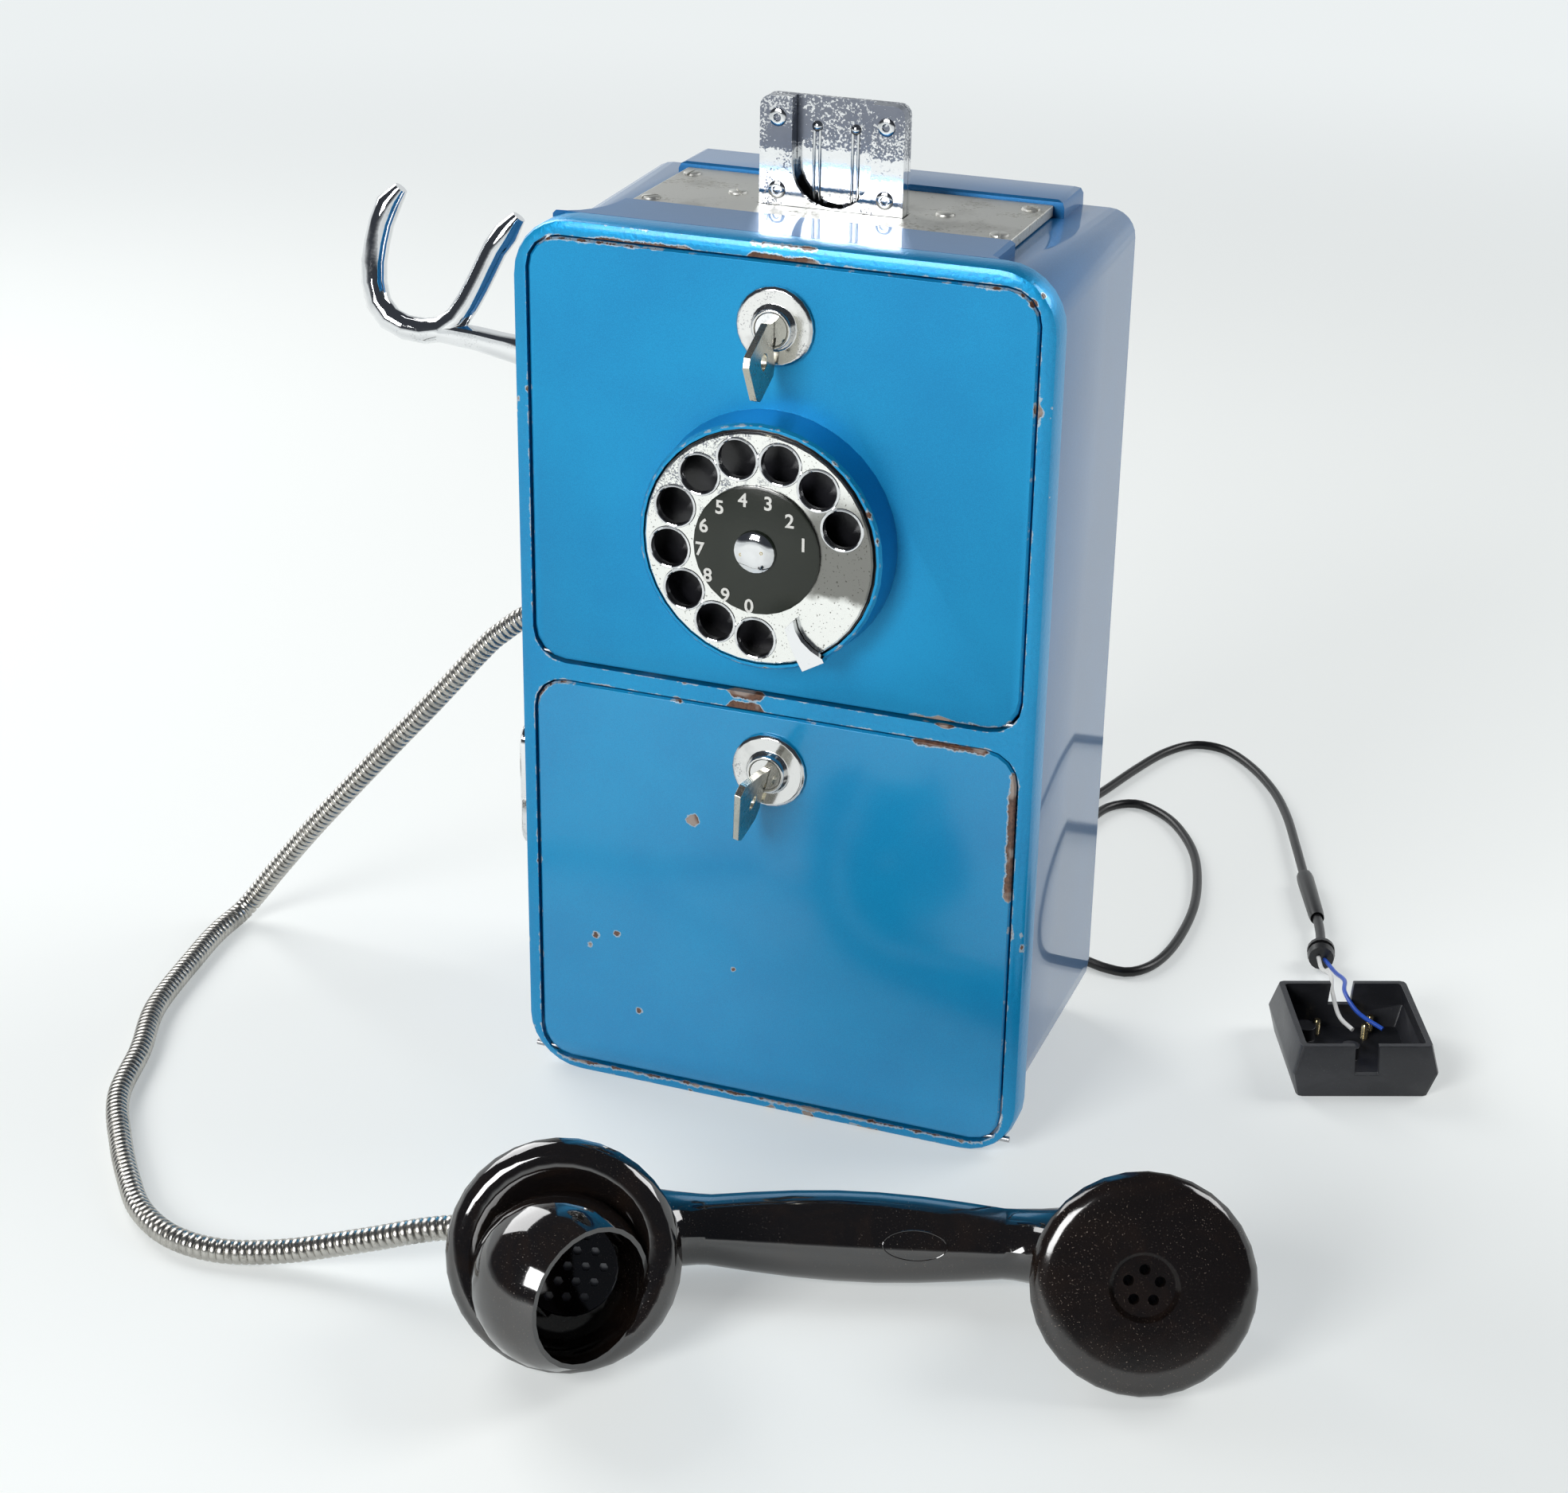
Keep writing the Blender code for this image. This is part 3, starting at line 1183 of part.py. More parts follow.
def handset_axes():
    heading = math.radians(HANDSET_HEADING_DEG)
    tilt = math.radians(HANDSET_TILT_DEG)
    dip = math.radians(HANDSET_DIP_DEG)
    along = Vector((math.cos(heading) * math.cos(dip), math.sin(heading) * math.cos(dip), -math.sin(dip)))
    face = Vector((math.sin(heading) * math.cos(tilt), -math.cos(heading) * math.cos(tilt), math.sin(tilt)))
    face = (face - along * face.dot(along)).normalized()
    up = face.cross(along)
    return along, up, face


def on_handset(u, v, w):
    along, up, face = handset_axes()
    return MOUTH_CENTRE + along * u + up * v + face * w


# Share of the handle in each section of the elbow, from cup rim to handle
ELBOW_ANGLES_DEG = [0, 12, 24, 36, 48, 60, 72, 84, 90]
HANDLE_STATIONS = 7
SECTION_POINTS = 20
CREASE_SHARE = 0.12


def handset_section(centre_u, centre_w, angle, half_in, half_across, crease):
    """One ring of the handset, in a plane that holds v and a direction in the u-w plane."""
    ring = []
    for step in range(SECTION_POINTS):
        turn = math.tau * step / SECTION_POINTS
        c = math.cos(turn)
        s = math.sin(turn)
        reach = half_in * c * (1 + crease * max(c, 0) * (1 - abs(s)))
        u = centre_u + reach * math.cos(angle)
        w = centre_w + reach * math.sin(angle)
        ring.append(on_handset(u, half_across * s, w))
    return ring


def handset_handle(pivot):
    pivot_w = -CUP_RIM_BEHIND
    rings = []
    for degrees in ELBOW_ANGLES_DEG:
        rings.append(elbow_ring(math.radians(degrees), pivot_w))
    for station in range(1, HANDLE_STATIONS):
        share = station / HANDLE_STATIONS
        u = ELBOW_IN + (CUP_SPACING - 2 * ELBOW_IN) * share
        fullness = HANDLE_END_SHARE + (1 - HANDLE_END_SHARE) * math.sin(math.pi * share)
        half_h = HANDLE_HALF_H * fullness
        rings.append(handset_section(u, -HANDLE_BEHIND, math.pi / 2, HANDLE_HALF_T, half_h, CREASE_SHARE))
    for degrees in reversed(ELBOW_ANGLES_DEG):
        ring = elbow_ring(math.radians(degrees), pivot_w)
        rings.append([mirrored(point) for point in ring])
    handle = place("handset_handle", loft(rings), BAKELITE, pivot)
    along, up, face = handset_axes()
    for u in (0, CUP_SPACING):
        start = on_handset(u, 0, pivot_w + OVERRUN)
        cut(handle, cylinder(start, -face, CAPSULE_H + SEAT * 2 + OVERRUN, CAPSULE_R + SEAT, 28))
    start = on_handset(-FERRULE_OUT, 0, -FERRULE_BEHIND)
    cut(handle, cylinder(start, along, FERRULE_L + SEAT, FERRULE_R + SEAT, 16))
    return handle


def mirrored(point):
    """The same place at the ear end of the handset."""
    along = handset_axes()[0]
    u = (point - MOUTH_CENTRE).dot(along)
    return point + along * (CUP_SPACING - 2 * u)


def elbow_ring(angle, pivot_w):
    share = math.sin(angle) ** 0.85
    reach = ELBOW_IN + (HANDLE_BEHIND - CUP_RIM_BEHIND - ELBOW_IN) * share
    half_in = CUP_RIM_R + (HANDLE_HALF_T - CUP_RIM_R) * share
    half_across = CUP_RIM_R + (HANDLE_HALF_H * HANDLE_END_SHARE - CUP_RIM_R) * share
    centre_u = ELBOW_IN - reach * math.cos(angle)
    centre_w = pivot_w - reach * math.sin(angle)
    return handset_section(centre_u, centre_w, angle, half_in, half_across, CREASE_SHARE * share)


# Sections of the two screwed caps, as (distance in front of the cup's plane, radius) in shares of the
# cap's radius
MOUTH_CAP_SHARES = [
    (-0.268, 0.905),
    (-0.141, 0.962),
    (-0.042, 1.0),
    (0.045, 0.975),
    (0.105, 0.92),
    (0.124, 0.85),
    (0.110, 0.76),
    (0.070, 0.67),
    (0.024, 0.60),
    (0.006, 0.55),
]
EAR_CAP_SHARES = [
    (-0.268, 0.905),
    (-0.141, 0.962),
    (-0.042, 1.0),
    (0.030, 0.975),
    (0.075, 0.925),
    (0.098, 0.85),
    (0.108, 0.74),
    (0.108, 0.50),
]
HOOD_RINGS = 9
HOOD_SIDES = 28


def cup_cap(radius, shares):
    """Profile of a screwed cap with the given section."""
    profile = [(-CUP_RIM_BEHIND + SEAT, radius * CAP_BACK_SHARE)]
    return profile + [(out * radius, reach * radius) for out, reach in shares]


def handset(pivot):
    along, up, face = handset_axes()
    handset_handle(pivot)
    for word, u in (("transmitter", 0), ("receiver", CUP_SPACING)):
        start = on_handset(u, 0, -CUP_RIM_BEHIND - SEAT)
        place(f"{word}_capsule", cylinder(start, -face, CAPSULE_H, CAPSULE_R, 24), STEEL, pivot)
    ear = cup_cap(EAR_CAP_R, EAR_CAP_SHARES)
    ear_face = ear[-1][0]
    ear += [(ear_face, EAR_RECESS_R * 1.08), (ear_face - EAR_RECESS_D, EAR_RECESS_R * 0.94)]
    ear_cap = place("ear_cap", revolve(ear, on_handset(CUP_SPACING, 0, 0), face, 32), BAKELITE, pivot)
    for index in range(5):
        angle = math.radians(90 + 72 * index)
        u = CUP_SPACING + EAR_HOLE_CIRCLE_R * math.cos(angle)
        start = on_handset(u, EAR_HOLE_CIRCLE_R * math.sin(angle), ear_face)
        cut(ear_cap, cylinder(start, -face, CUP_RIM_BEHIND + ear_face * 2, EAR_HOLE_R, 8))
    mouthpiece = place("mouthpiece", hood_ball(HOOD_R, 0), BAKELITE, pivot)
    cut(mouthpiece, cylinder(on_handset(0, 0, -OVERRUN), -face, HOOD_R, HOOD_R * 2, 12))
    weld(mouthpiece, revolve(cup_cap(MOUTH_CAP_R, MOUTH_CAP_SHARES), on_handset(0, 0, 0), face, 34))
    cut(mouthpiece, hood_ball(HOOD_R - HOOD_WALL, OVERRUN))
    bore_start = on_handset(0, -HOOD_DOWN, OVERRUN)
    cut(mouthpiece, cylinder(bore_start, -face, CUP_RIM_BEHIND + OVERRUN * 2, GRILLE_R + SEAT, 28))
    grille_start = on_handset(0, -HOOD_DOWN, -CUP_RIM_BEHIND + SEAT)
    grille = place("mouth_grille", cylinder(grille_start, face, GRILLE_T, GRILLE_R, 24), BAKELITE, pivot)
    for q in range(-2, 3):
        for r in range(-2, 3):
            if abs(q + r) <= 2:
                u = GRILLE_PITCH * (q + r / 2)
                v = GRILLE_PITCH * r * math.sqrt(3) / 2 - HOOD_DOWN
                start = on_handset(u, v, -CUP_RIM_BEHIND - OVERRUN)
                cut(grille, cylinder(start, face, GRILLE_T + OVERRUN * 3, GRILLE_HOLE_R, 6))
    start = on_handset(-FERRULE_OUT, 0, -FERRULE_BEHIND)
    ferrule = [(0, FERRULE_R * 0.85), (FERRULE_R * 0.2, FERRULE_R), (FERRULE_L, FERRULE_R)]
    place("hose_ferrule", revolve(ferrule, start, along, 16), STEEL, pivot)


def hood_ball(radius, beyond):
    """The ball of the mouthpiece's hood, cut off where its mouth opens and carried on beyond the cut."""
    along, up, face = handset_axes()
    lean = math.radians(HOOD_LEAN_DEG)
    roll = math.radians(HOOD_ROLL_DEG)
    outward = face * math.cos(lean) + (along * math.cos(roll) + up * math.sin(roll)) * math.sin(lean)
    reach = math.sqrt(HOOD_R**2 - HOOD_MOUTH_R**2)
    last = math.acos(-reach / radius)
    profile = []
    for ring in range(1, HOOD_RINGS + 1):
        angle = last * ring / HOOD_RINGS
        profile.append((-radius * math.cos(angle), radius * math.sin(angle)))
    if beyond:
        profile.append((reach + beyond, profile[-1][1]))
    return revolve(profile, on_handset(0, -HOOD_DOWN, HOOD_OUT), outward, HOOD_SIDES)


def flexible(name, route, radius, finish):
    """A cord as a bevelled curve through its points."""
    curve = bpy.data.curves.new(name, "CURVE")
    curve.dimensions = "3D"
    curve.bevel_depth = radius
    curve.bevel_resolution = 2
    curve.use_fill_caps = True
    spline = curve.splines.new("POLY")
    spline.points.add(len(route) - 1)
    for point, place_at in zip(spline.points, route):
        point.co = (*place_at, 1)
    made = bpy.data.objects.new(name, curve)
    bpy.context.collection.objects.link(made)
    made.data.materials.append(material(*finish))
    return made


def line_cord():
    route, total = smooth_route([Vector(p) * MM for p in CORD_ROUTE], CORD_R * 7.5)
    flexible("line_cord", route, CORD_R, RUBBER)
    print("line cord length mm", round(total / MM), "points", len(route))
    start = Vector(CORD_ROUTE[-5]) * MM
    stop = Vector(CORD_ROUTE[-3]) * MM
    length = (stop - start).length
    bore = CORD_R + SEAT * 2
    profile = [(0, bore), (length, bore), (length, SLEEVE_R * 0.8), (length * 0.9, SLEEVE_R * 0.9)]
    profile += [(length * 0.1, SLEEVE_R), (0, SLEEVE_R * 0.9)]
    place("cord_sleeve", revolve(profile, start, stop - start, 12, closed=True), RUBBER)
    end = Vector(CORD_ROUTE[-1]) * MM
    heading = (end - Vector(CORD_ROUTE[-2]) * MM).normalized()
    groove = GROMMET_R * 0.72
    profile = [
        (SEAT, GROMMET_R * 0.7),
        (SEAT + GROMMET_T * 0.15, GROMMET_R),
        (GROMMET_T * 0.4, GROMMET_R),
        (GROMMET_T * 0.4, groove),
        (GROMMET_T * 0.65, groove),
        (GROMMET_T * 0.65, GROMMET_R),
        (GROMMET_T, GROMMET_R * 0.9),
    ]
    place("wall_grommet", revolve(profile, end, heading, 16), RUBBER)
    inlet = [(-BACK_PLATE_T, INLET_R), (0, INLET_R)]
    inlet += [(INLET_OUT / 2, INLET_R * 0.9), (INLET_OUT, INLET_R * 0.6)]
    start = Vector((INLET_X, BACK_PLATE_Y + BACK_PLATE_T, INLET_Z))
    place("cord_inlet", revolve(inlet, start, (0, 1, 0), 16), RUBBER)
    for name, points in WIRE_ROUTES.items():
        wire, length = smooth_route([Vector(p) * MM for p in points], WIRE_R * 12)
        flexible(name, wire, WIRE_R, WHITE_WIRE if name == "white_wire" else BLUE_WIRE)


def wall_box():
    heading = Matrix.Rotation(math.radians(BOX_HEADING_DEG), 4, "Z")
    turn = Matrix.Translation((BOX_CENTRE_X, BOX_CENTRE_Y, 0)) @ heading
    half_l = BOX_L / 2
    half_d = BOX_D / 2

    def level(z, grow, corner):
        radii = [corner] * 4
        outline = rounded_rectangle(-half_l - grow, half_l + grow, -half_d - grow, half_d + grow, radii, 2)
        return [turn @ Vector((x, y, z)) for x, y in outline]

    middle = BOX_H / 2
    outer = [level(0, 0, BOX_CORNER), level(middle, BOX_FLARE, BOX_CORNER), level(BOX_H, 0, BOX_CORNER)]
    made = place("wall_box", loft(outer), BLACK_PLASTIC)
    thin = BOX_CORNER / 2
    inner = [
        level(BOX_FLOOR, -BOX_WALL, thin),
        level(middle, BOX_FLARE - BOX_WALL, thin),
        level(BOX_H, -BOX_WALL, thin),
        level(BOX_H + OVERRUN, -BOX_WALL, thin),
    ]
    cut(made, loft(inner))
    half_slot = BOX_SLOT_W / 2
    reach = half_d + BOX_FLARE * 2
    inside = half_d - BOX_WALL * 2
    for y0, y1 in ((-reach, -inside), (inside, reach)):
        notch = block((-half_slot, y0, middle), (half_slot, y1, BOX_H + OVERRUN))
        bmesh.ops.transform(notch, matrix=turn, verts=notch.verts)
        cut(made, notch)
    out_l = half_l * 0.6
    out_d = half_d * 0.6
    for x, y, radius in ((-out_l, out_d, BOX_BOSS_R), (out_l, -out_d, BOX_BOSS_R), (0, 0, BOX_POST_R)):
        foot = turn @ Vector((x, y, BOX_FLOOR / 2))
        weld(made, cylinder(foot, (0, 0, 1), middle * 0.6, radius, 12))
    return made


def build():
    for old in list(bpy.data.objects):
        bpy.data.objects.remove(old)
    upper_hinge = pivot_empty("upper_door_pivot", (0, HINGE_Y, hinge_axis_z(UPPER_SILL)))
    lower_hinge = pivot_empty("lower_door_pivot", (0, HINGE_Y, hinge_axis_z(LOWER_SILL)))
    upper_key_pivot = pivot_empty("upper_key_pivot", (0, FRONT, UPPER_LOCK_Z))
    lower_key_pivot = pivot_empty("lower_key_pivot", (0, FRONT, LOWER_LOCK_Z))
    wheel_pivot = pivot_empty("finger_wheel_pivot", DIAL)
    hook_pivot = pivot_empty("hook_pivot", (HOOK_PIVOT_X, HOOK_Y, HOOK_PIVOT_Z))
    handset_pivot = pivot_empty("handset_origin", MOUTH_CENTRE)

    front_frame()
    housing()
    top_plate()
    chute()
    hinge_pins()
    back_plate()
    inner_parts()
    hook_parts()
    coin_return()
    hook(hook_pivot)

    upper_door = door("upper_door", UPPER_SILL, UPPER_HEAD, upper_hinge)
    lower_door = door("lower_door", LOWER_SILL, LOWER_HEAD, lower_hinge)
    dial(upper_door, upper_hinge, wheel_pivot)
    door_lock("upper", UPPER_LOCK_Z, UPPER_BOW_SHARES, upper_hinge, upper_key_pivot, upper_door)
    door_lock("lower", LOWER_LOCK_Z, LOWER_BOW_SHARES, lower_hinge, lower_key_pivot, lower_door)

    hose_gland()
    hose()
    handset(handset_pivot)
    line_cord()
    wall_box()


build()
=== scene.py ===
"""Looks of the wall payphone: camera, light, materials, cords and fine pieces."""

import math

import bmesh
import bpy
from mathutils import Matrix, Vector

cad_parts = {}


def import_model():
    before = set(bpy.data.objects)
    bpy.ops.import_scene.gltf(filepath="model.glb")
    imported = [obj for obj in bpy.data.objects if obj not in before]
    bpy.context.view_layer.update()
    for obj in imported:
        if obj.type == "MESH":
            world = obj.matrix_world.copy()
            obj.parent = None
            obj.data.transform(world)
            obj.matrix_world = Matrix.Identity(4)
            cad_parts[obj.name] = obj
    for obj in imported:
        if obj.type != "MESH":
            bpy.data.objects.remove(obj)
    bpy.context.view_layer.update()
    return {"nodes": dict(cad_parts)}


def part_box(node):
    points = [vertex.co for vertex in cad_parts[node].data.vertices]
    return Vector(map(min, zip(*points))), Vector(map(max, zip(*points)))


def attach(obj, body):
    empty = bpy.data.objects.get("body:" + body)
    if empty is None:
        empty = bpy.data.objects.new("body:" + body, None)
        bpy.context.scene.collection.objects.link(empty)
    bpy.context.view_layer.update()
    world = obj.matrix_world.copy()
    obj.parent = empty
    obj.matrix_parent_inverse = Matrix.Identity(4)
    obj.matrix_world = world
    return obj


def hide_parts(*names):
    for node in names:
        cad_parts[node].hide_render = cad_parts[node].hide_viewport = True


MM = 0.001

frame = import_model()
nodes = frame["nodes"]

# Camera, as it stood for the photograph
CAMERA_AT = Vector((0.3112, -0.8333, 0.5384))
CAMERA_AZIMUTH = math.radians(20.32)
CAMERA_ELEVATION = math.radians(24.42)
CAMERA_ROLL = math.radians(0.92)
CAMERA_LENS = 68.62
SENSOR_WIDTH = 36.0


def make_camera():
    cos_a, sin_a = math.cos(CAMERA_AZIMUTH), math.sin(CAMERA_AZIMUTH)
    cos_e, sin_e = math.cos(CAMERA_ELEVATION), math.sin(CAMERA_ELEVATION)
    back = Vector((sin_a * cos_e, -cos_a * cos_e, sin_e))
    level = Vector((cos_a, sin_a, 0))
    upward = back.cross(level)
    right = level * math.cos(CAMERA_ROLL) + upward * math.sin(CAMERA_ROLL)
    up = back.cross(right)
    data = bpy.data.cameras.new("camera")
    data.lens = CAMERA_LENS
    data.sensor_width = SENSOR_WIDTH
    data.clip_start = 0.01
    data.clip_end = 20
    camera = bpy.data.objects.new("camera", data)
    turn = Matrix((right, up, back)).transposed().to_4x4()
    camera.matrix_world = Matrix.Translation(CAMERA_AT) @ turn
    bpy.context.scene.collection.objects.link(camera)
    bpy.context.scene.camera = camera
    bpy.context.scene.view_settings.view_transform = "Standard"


# Shader building


class Shade:
    """A material with a Principled shader, and short calls that add nodes to it."""

    def __init__(self, name, **sockets):
        self.material = bpy.data.materials.new(name)
        self.material.use_nodes = True
        self.tree = self.material.node_tree
        self.shader = self.tree.nodes["Principled BSDF"]
        self.at = self.tree.nodes.new("ShaderNodeTexCoord").outputs["Object"]
        self.set(**sockets)

    def set(self, **sockets):
        for key, value in sockets.items():
            self.put(self.shader, key.replace("_", " "), value)

    def put(self, node, index, value):
        if isinstance(value, bpy.types.NodeSocket):
            self.tree.links.new(value, node.inputs[index])
        elif value is not None:
            node.inputs[index].default_value = value

    def math(self, operation, *values):
        node = self.tree.nodes.new("ShaderNodeMath")
        node.operation = operation
        for index, value in enumerate(values):
            self.put(node, index, value)
        return node.outputs[0]

    def length(self, first, second):
        squares = [self.math("POWER", value, 2.0) for value in (first, second)]
        return self.math("SQRT", self.math("ADD", *squares))

    def largest(self, values):
        total = values[0]
        for value in values[1:]:
            total = self.math("MAXIMUM", total, value)
        return total

    def split(self):
        node = self.tree.nodes.new("ShaderNodeSeparateXYZ")
        self.put(node, 0, self.at)
        return node.outputs

    def noise(self, scale, detail=3.0, roughness=0.55, distortion=0.0):
        node = self.tree.nodes.new("ShaderNodeTexNoise")
        self.put(node, "Vector", self.at)
        self.put(node, "Scale", scale)
        self.put(node, "Detail", detail)
        self.put(node, "Roughness", roughness)
        self.put(node, "Distortion", distortion)
        return node.outputs[0]

    def step(self, value, low, high, to_low=0.0, to_high=1.0):
        node = self.tree.nodes.new("ShaderNodeMapRange")
        node.interpolation_type = "SMOOTHSTEP"
        for index, entry in enumerate((value, low, high, to_low, to_high)):
            self.put(node, index, entry)
        return node.outputs[0]

    def mix(self, factor, first, second):
        node = self.tree.nodes.new("ShaderNodeMix")
        node.data_type = "RGBA"
        self.put(node, 0, factor)
        for index, colour in ((6, first), (7, second)):
            linked = isinstance(colour, bpy.types.NodeSocket)
            self.put(node, index, colour if linked else (*colour, 1.0))
        return node.outputs[2]

    def bump(self, height, distance, normal=None):
        node = self.tree.nodes.new("ShaderNodeBump")
        self.put(node, "Strength", 1.0)
        self.put(node, "Distance", distance)
        self.put(node, "Height", height)
        self.put(node, "Normal", normal)
        return node.outputs[0]


def outline_distance(shade, centre_x, centre_z, half_x, half_z, radius):
    """Signed distance to a rounded rectangle in X and Z, in metres."""
    x, _, z = shade.split()
    parts = []
    for value, centre, half in ((x, centre_x, half_x), (z, centre_z, half_z)):
        away = shade.math("ABSOLUTE", shade.math("SUBTRACT", value, centre))
        parts.append(shade.math("SUBTRACT", away, half - radius))
    outside = shade.length(*[shade.math("MAXIMUM", part, 0.0) for part in parts])
    inside = shade.math("MINIMUM", shade.math("MAXIMUM", *parts), 0.0)
    return shade.math("SUBTRACT", shade.math("ADD", outside, inside), radius)


# Paint

PAINT = (0.003, 0.325, 0.64)
PAINT_DEEP = (0.001, 0.25, 0.54)
# Darker, greyer copy of the blue for the sides of the case: painted shade of the sides
SHADED_SIDE_PAINT = (0.012, 0.150, 0.38)
PRIMER = (0.16, 0.070, 0.038)
RUST = (0.085, 0.036, 0.020)
FADED = (0.50, 0.56, 0.58)
BARE = (0.36, 0.29, 0.25)
PAINT_THICKNESS = 0.12 * MM
PAINT_ROUGHNESS = 0.42
# How far a chip's edge wanders, and how softly a worn stretch ends
RAGGED = 3.2 * MM
WEAR_FADE = 3 * MM
# Where a chip and its pale rim start, measured inward from the chip's edge
CHIP_EDGE = (0.0, 0.12 * MM)
RIM_EDGE = (-0.55 * MM, -0.25 * MM)
SPOT_RIM_EDGE = (-0.45 * MM, -0.2 * MM)


def middle_and_half(low, high):
    """Centre and half sizes in X and Z of a box given by its corners."""
    return (low.x + high.x) / 2, (low.z + high.z) / 2, (high.x - low.x) / 2, (high.z - low.z) / 2


def window(shade, x, z, stretch):
    """One inside a rectangle in X and Z, given in millimetres, fading to nothing round it."""
    x0, x1, z0, z1 = (value * MM for value in stretch)
    starts = [shade.step(value, edge - WEAR_FADE, edge) for value, edge in ((x, x0), (z, z0))]
    product = shade.math("MULTIPLY", *starts)
    for value, edge in ((x, x1), (z, z1)):
        end = shade.step(value, edge, edge + WEAR_FADE, 1.0, 0.0)
        product = shade.math("MULTIPLY", product, end)
    return product


def chip_masks(shade, outlines, stretches, spots):
    """Masks of the paint that is gone and of the pale edge round it."""
    x, y, z = shade.split()
    ragged = shade.math("SUBTRACT", shade.noise(260, 4.0, 0.7), 0.5)
    ragged = shade.math("MULTIPLY", ragged, RAGGED)
    patches = shade.step(shade.noise(85, 2.0, 0.55), 0.60, 0.72)
    extra = 0.0
    for stretch, reach in stretches:
        worn = shade.math("MULTIPLY", window(shade, x, z, stretch), reach * MM)
        extra = shade.math("ADD", worn, extra)
    chips = []
    rims = []
    for centre_x, centre_z, half_x, half_z, radius, reach, line, front_y in outlines:
        flat = outline_distance(shade, centre_x, centre_z, half_x, half_z, radius)
        behind = shade.math("MAXIMUM", shade.math("SUBTRACT", y, front_y), 0.0)
        reached = shade.math("ADD", shade.math("MULTIPLY", patches, reach), extra)
        reached = shade.math("ADD", reached, line)
        away = shade.math("ADD", shade.length(flat, behind), ragged)
        left = shade.math("SUBTRACT", reached, away)
        chips.append(shade.step(left, *CHIP_EDGE))
        rims.append(shade.step(left, *RIM_EDGE))
    for spot_x, spot_z, radius in spots:
        dx = shade.math("SUBTRACT", x, spot_x * MM)
        dz = shade.math("SUBTRACT", z, spot_z * MM)
        away = shade.math("ADD", shade.length(dx, dz), ragged)
        left = shade.math("SUBTRACT", radius * MM, away)
        chips.append(shade.step(left, *CHIP_EDGE))
        rims.append(shade.step(left, *SPOT_RIM_EDGE))
    return shade.largest(chips), shade.largest(rims)


def paint(
    name,
    outlines,
    coat_roughness,
    grain,
    stretches=(),
    spots=(),
    colours=(PAINT, PAINT_DEEP),
    metallic=0.5,
    coat=1.0,
    ior=1.5,
):
    """Metallic enamel, chipped along outlines, more so inside stretches, and at spots.

    An outline is (centre x, centre z, half x, half z, corner radius, reach of its chips, reach
    everywhere, y of its front). The grain is the scale and the depth of the surface's ripple.
    """
    shade = Shade(name)
    flake = shade.noise(4200, 1.0, 0.5)
    cloud = shade.noise(14, 3.0, 0.6)
    tone = shade.math("ADD", shade.math("MULTIPLY", cloud, 0.45), shade.math("MULTIPLY", flake, 0.55))
    colour = shade.mix(shade.step(tone, 0.38, 0.62), colours[1], colours[0])
    normal = shade.bump(shade.noise(grain[0], 2.0, 0.5), grain[1])
    metal_part = metallic
    rough_part = PAINT_ROUGHNESS
    if outlines or spots:
        gone, pale = chip_masks(shade, outlines, stretches, spots)
        under = shade.mix(shade.step(shade.noise(700, 3.0), 0.42, 0.6), PRIMER, RUST)
        under = shade.mix(shade.step(shade.noise(95, 2.0), 0.52, 0.60), under, BARE)
        colour = shade.mix(shade.math("MULTIPLY", pale, 0.75), colour, FADED)
        colour = shade.mix(gone, colour, under)
        clear = shade.math("SUBTRACT", 1.0, gone)
        metal_part = shade.math("MULTIPLY", clear, metallic)
        rough_part = shade.math("ADD", shade.math("MULTIPLY", gone, 0.35), PAINT_ROUGHNESS)
        normal = shade.bump(clear, PAINT_THICKNESS, normal)
    shade.set(Metallic=metal_part, Roughness=rough_part, Base_Color=colour, Normal=normal)
    shade.set(Coat_Weight=coat, Coat_Roughness=coat_roughness, Coat_IOR=ior)
    shade.set(Specular_IOR_Level=0.25)
    return shade.material


def metal(
    name,
    colour,
    roughness,
    film=0.15,
    pits=0.0,
    pit_colour=(0.07, 0.075, 0.09),
    grain=1500,
    bump=0.012 * MM,
    dull_from=None,
):
    """Bare or plated metal with a thin film and with pits of tarnish, denser above dull_from."""
    shade = Shade(name, Metallic=1.0)
    cloud = shade.step(shade.noise(60, 4.0, 0.62), 0.48, 0.70)
    tint = shade.mix(cloud, colour, tuple(value * (1 - film) for value in colour))
    rough = shade.math("ADD", shade.math("MULTIPLY", cloud, film * 0.3), roughness)
    if pits:
        zone = shade.step(shade.noise(75, 3.0, 0.6), 0.44, 0.66)
        if dull_from:
            wander = shade.math("MULTIPLY", shade.noise(260, 2.0), 3 * MM)
            height = shade.math("ADD", shade.split()[2], wander)
            dull = shade.step(height, dull_from, dull_from + 2 * MM)
            zone = shade.math("ADD", shade.math("MULTIPLY", dull, 1.3), zone)
        fine = shade.noise(grain, 2.0, 0.6)
        limit = shade.math("SUBTRACT", 0.70, shade.math("MULTIPLY", zone, 0.20))
        speck = shade.step(shade.math("SUBTRACT", fine, limit), 0.0, 0.06)
        tint = shade.mix(shade.math("MULTIPLY", speck, pits), tint, pit_colour)
        rough = shade.math("ADD", rough, shade.math("MULTIPLY", speck, pits * 0.3))
    shade.set(Base_Color=tint, Roughness=rough, Normal=shade.bump(shade.noise(900, 2.0, 0.5), bump))
    return shade.material


WHEEL_BRIGHT = (0.82, 0.83, 0.80)
WHEEL_PATINA = (0.12, 0.118, 0.105)
WHEEL_BLUE = (0.10, 0.115, 0.16)
WHEEL_PITS = (0.06, 0.06, 0.045)


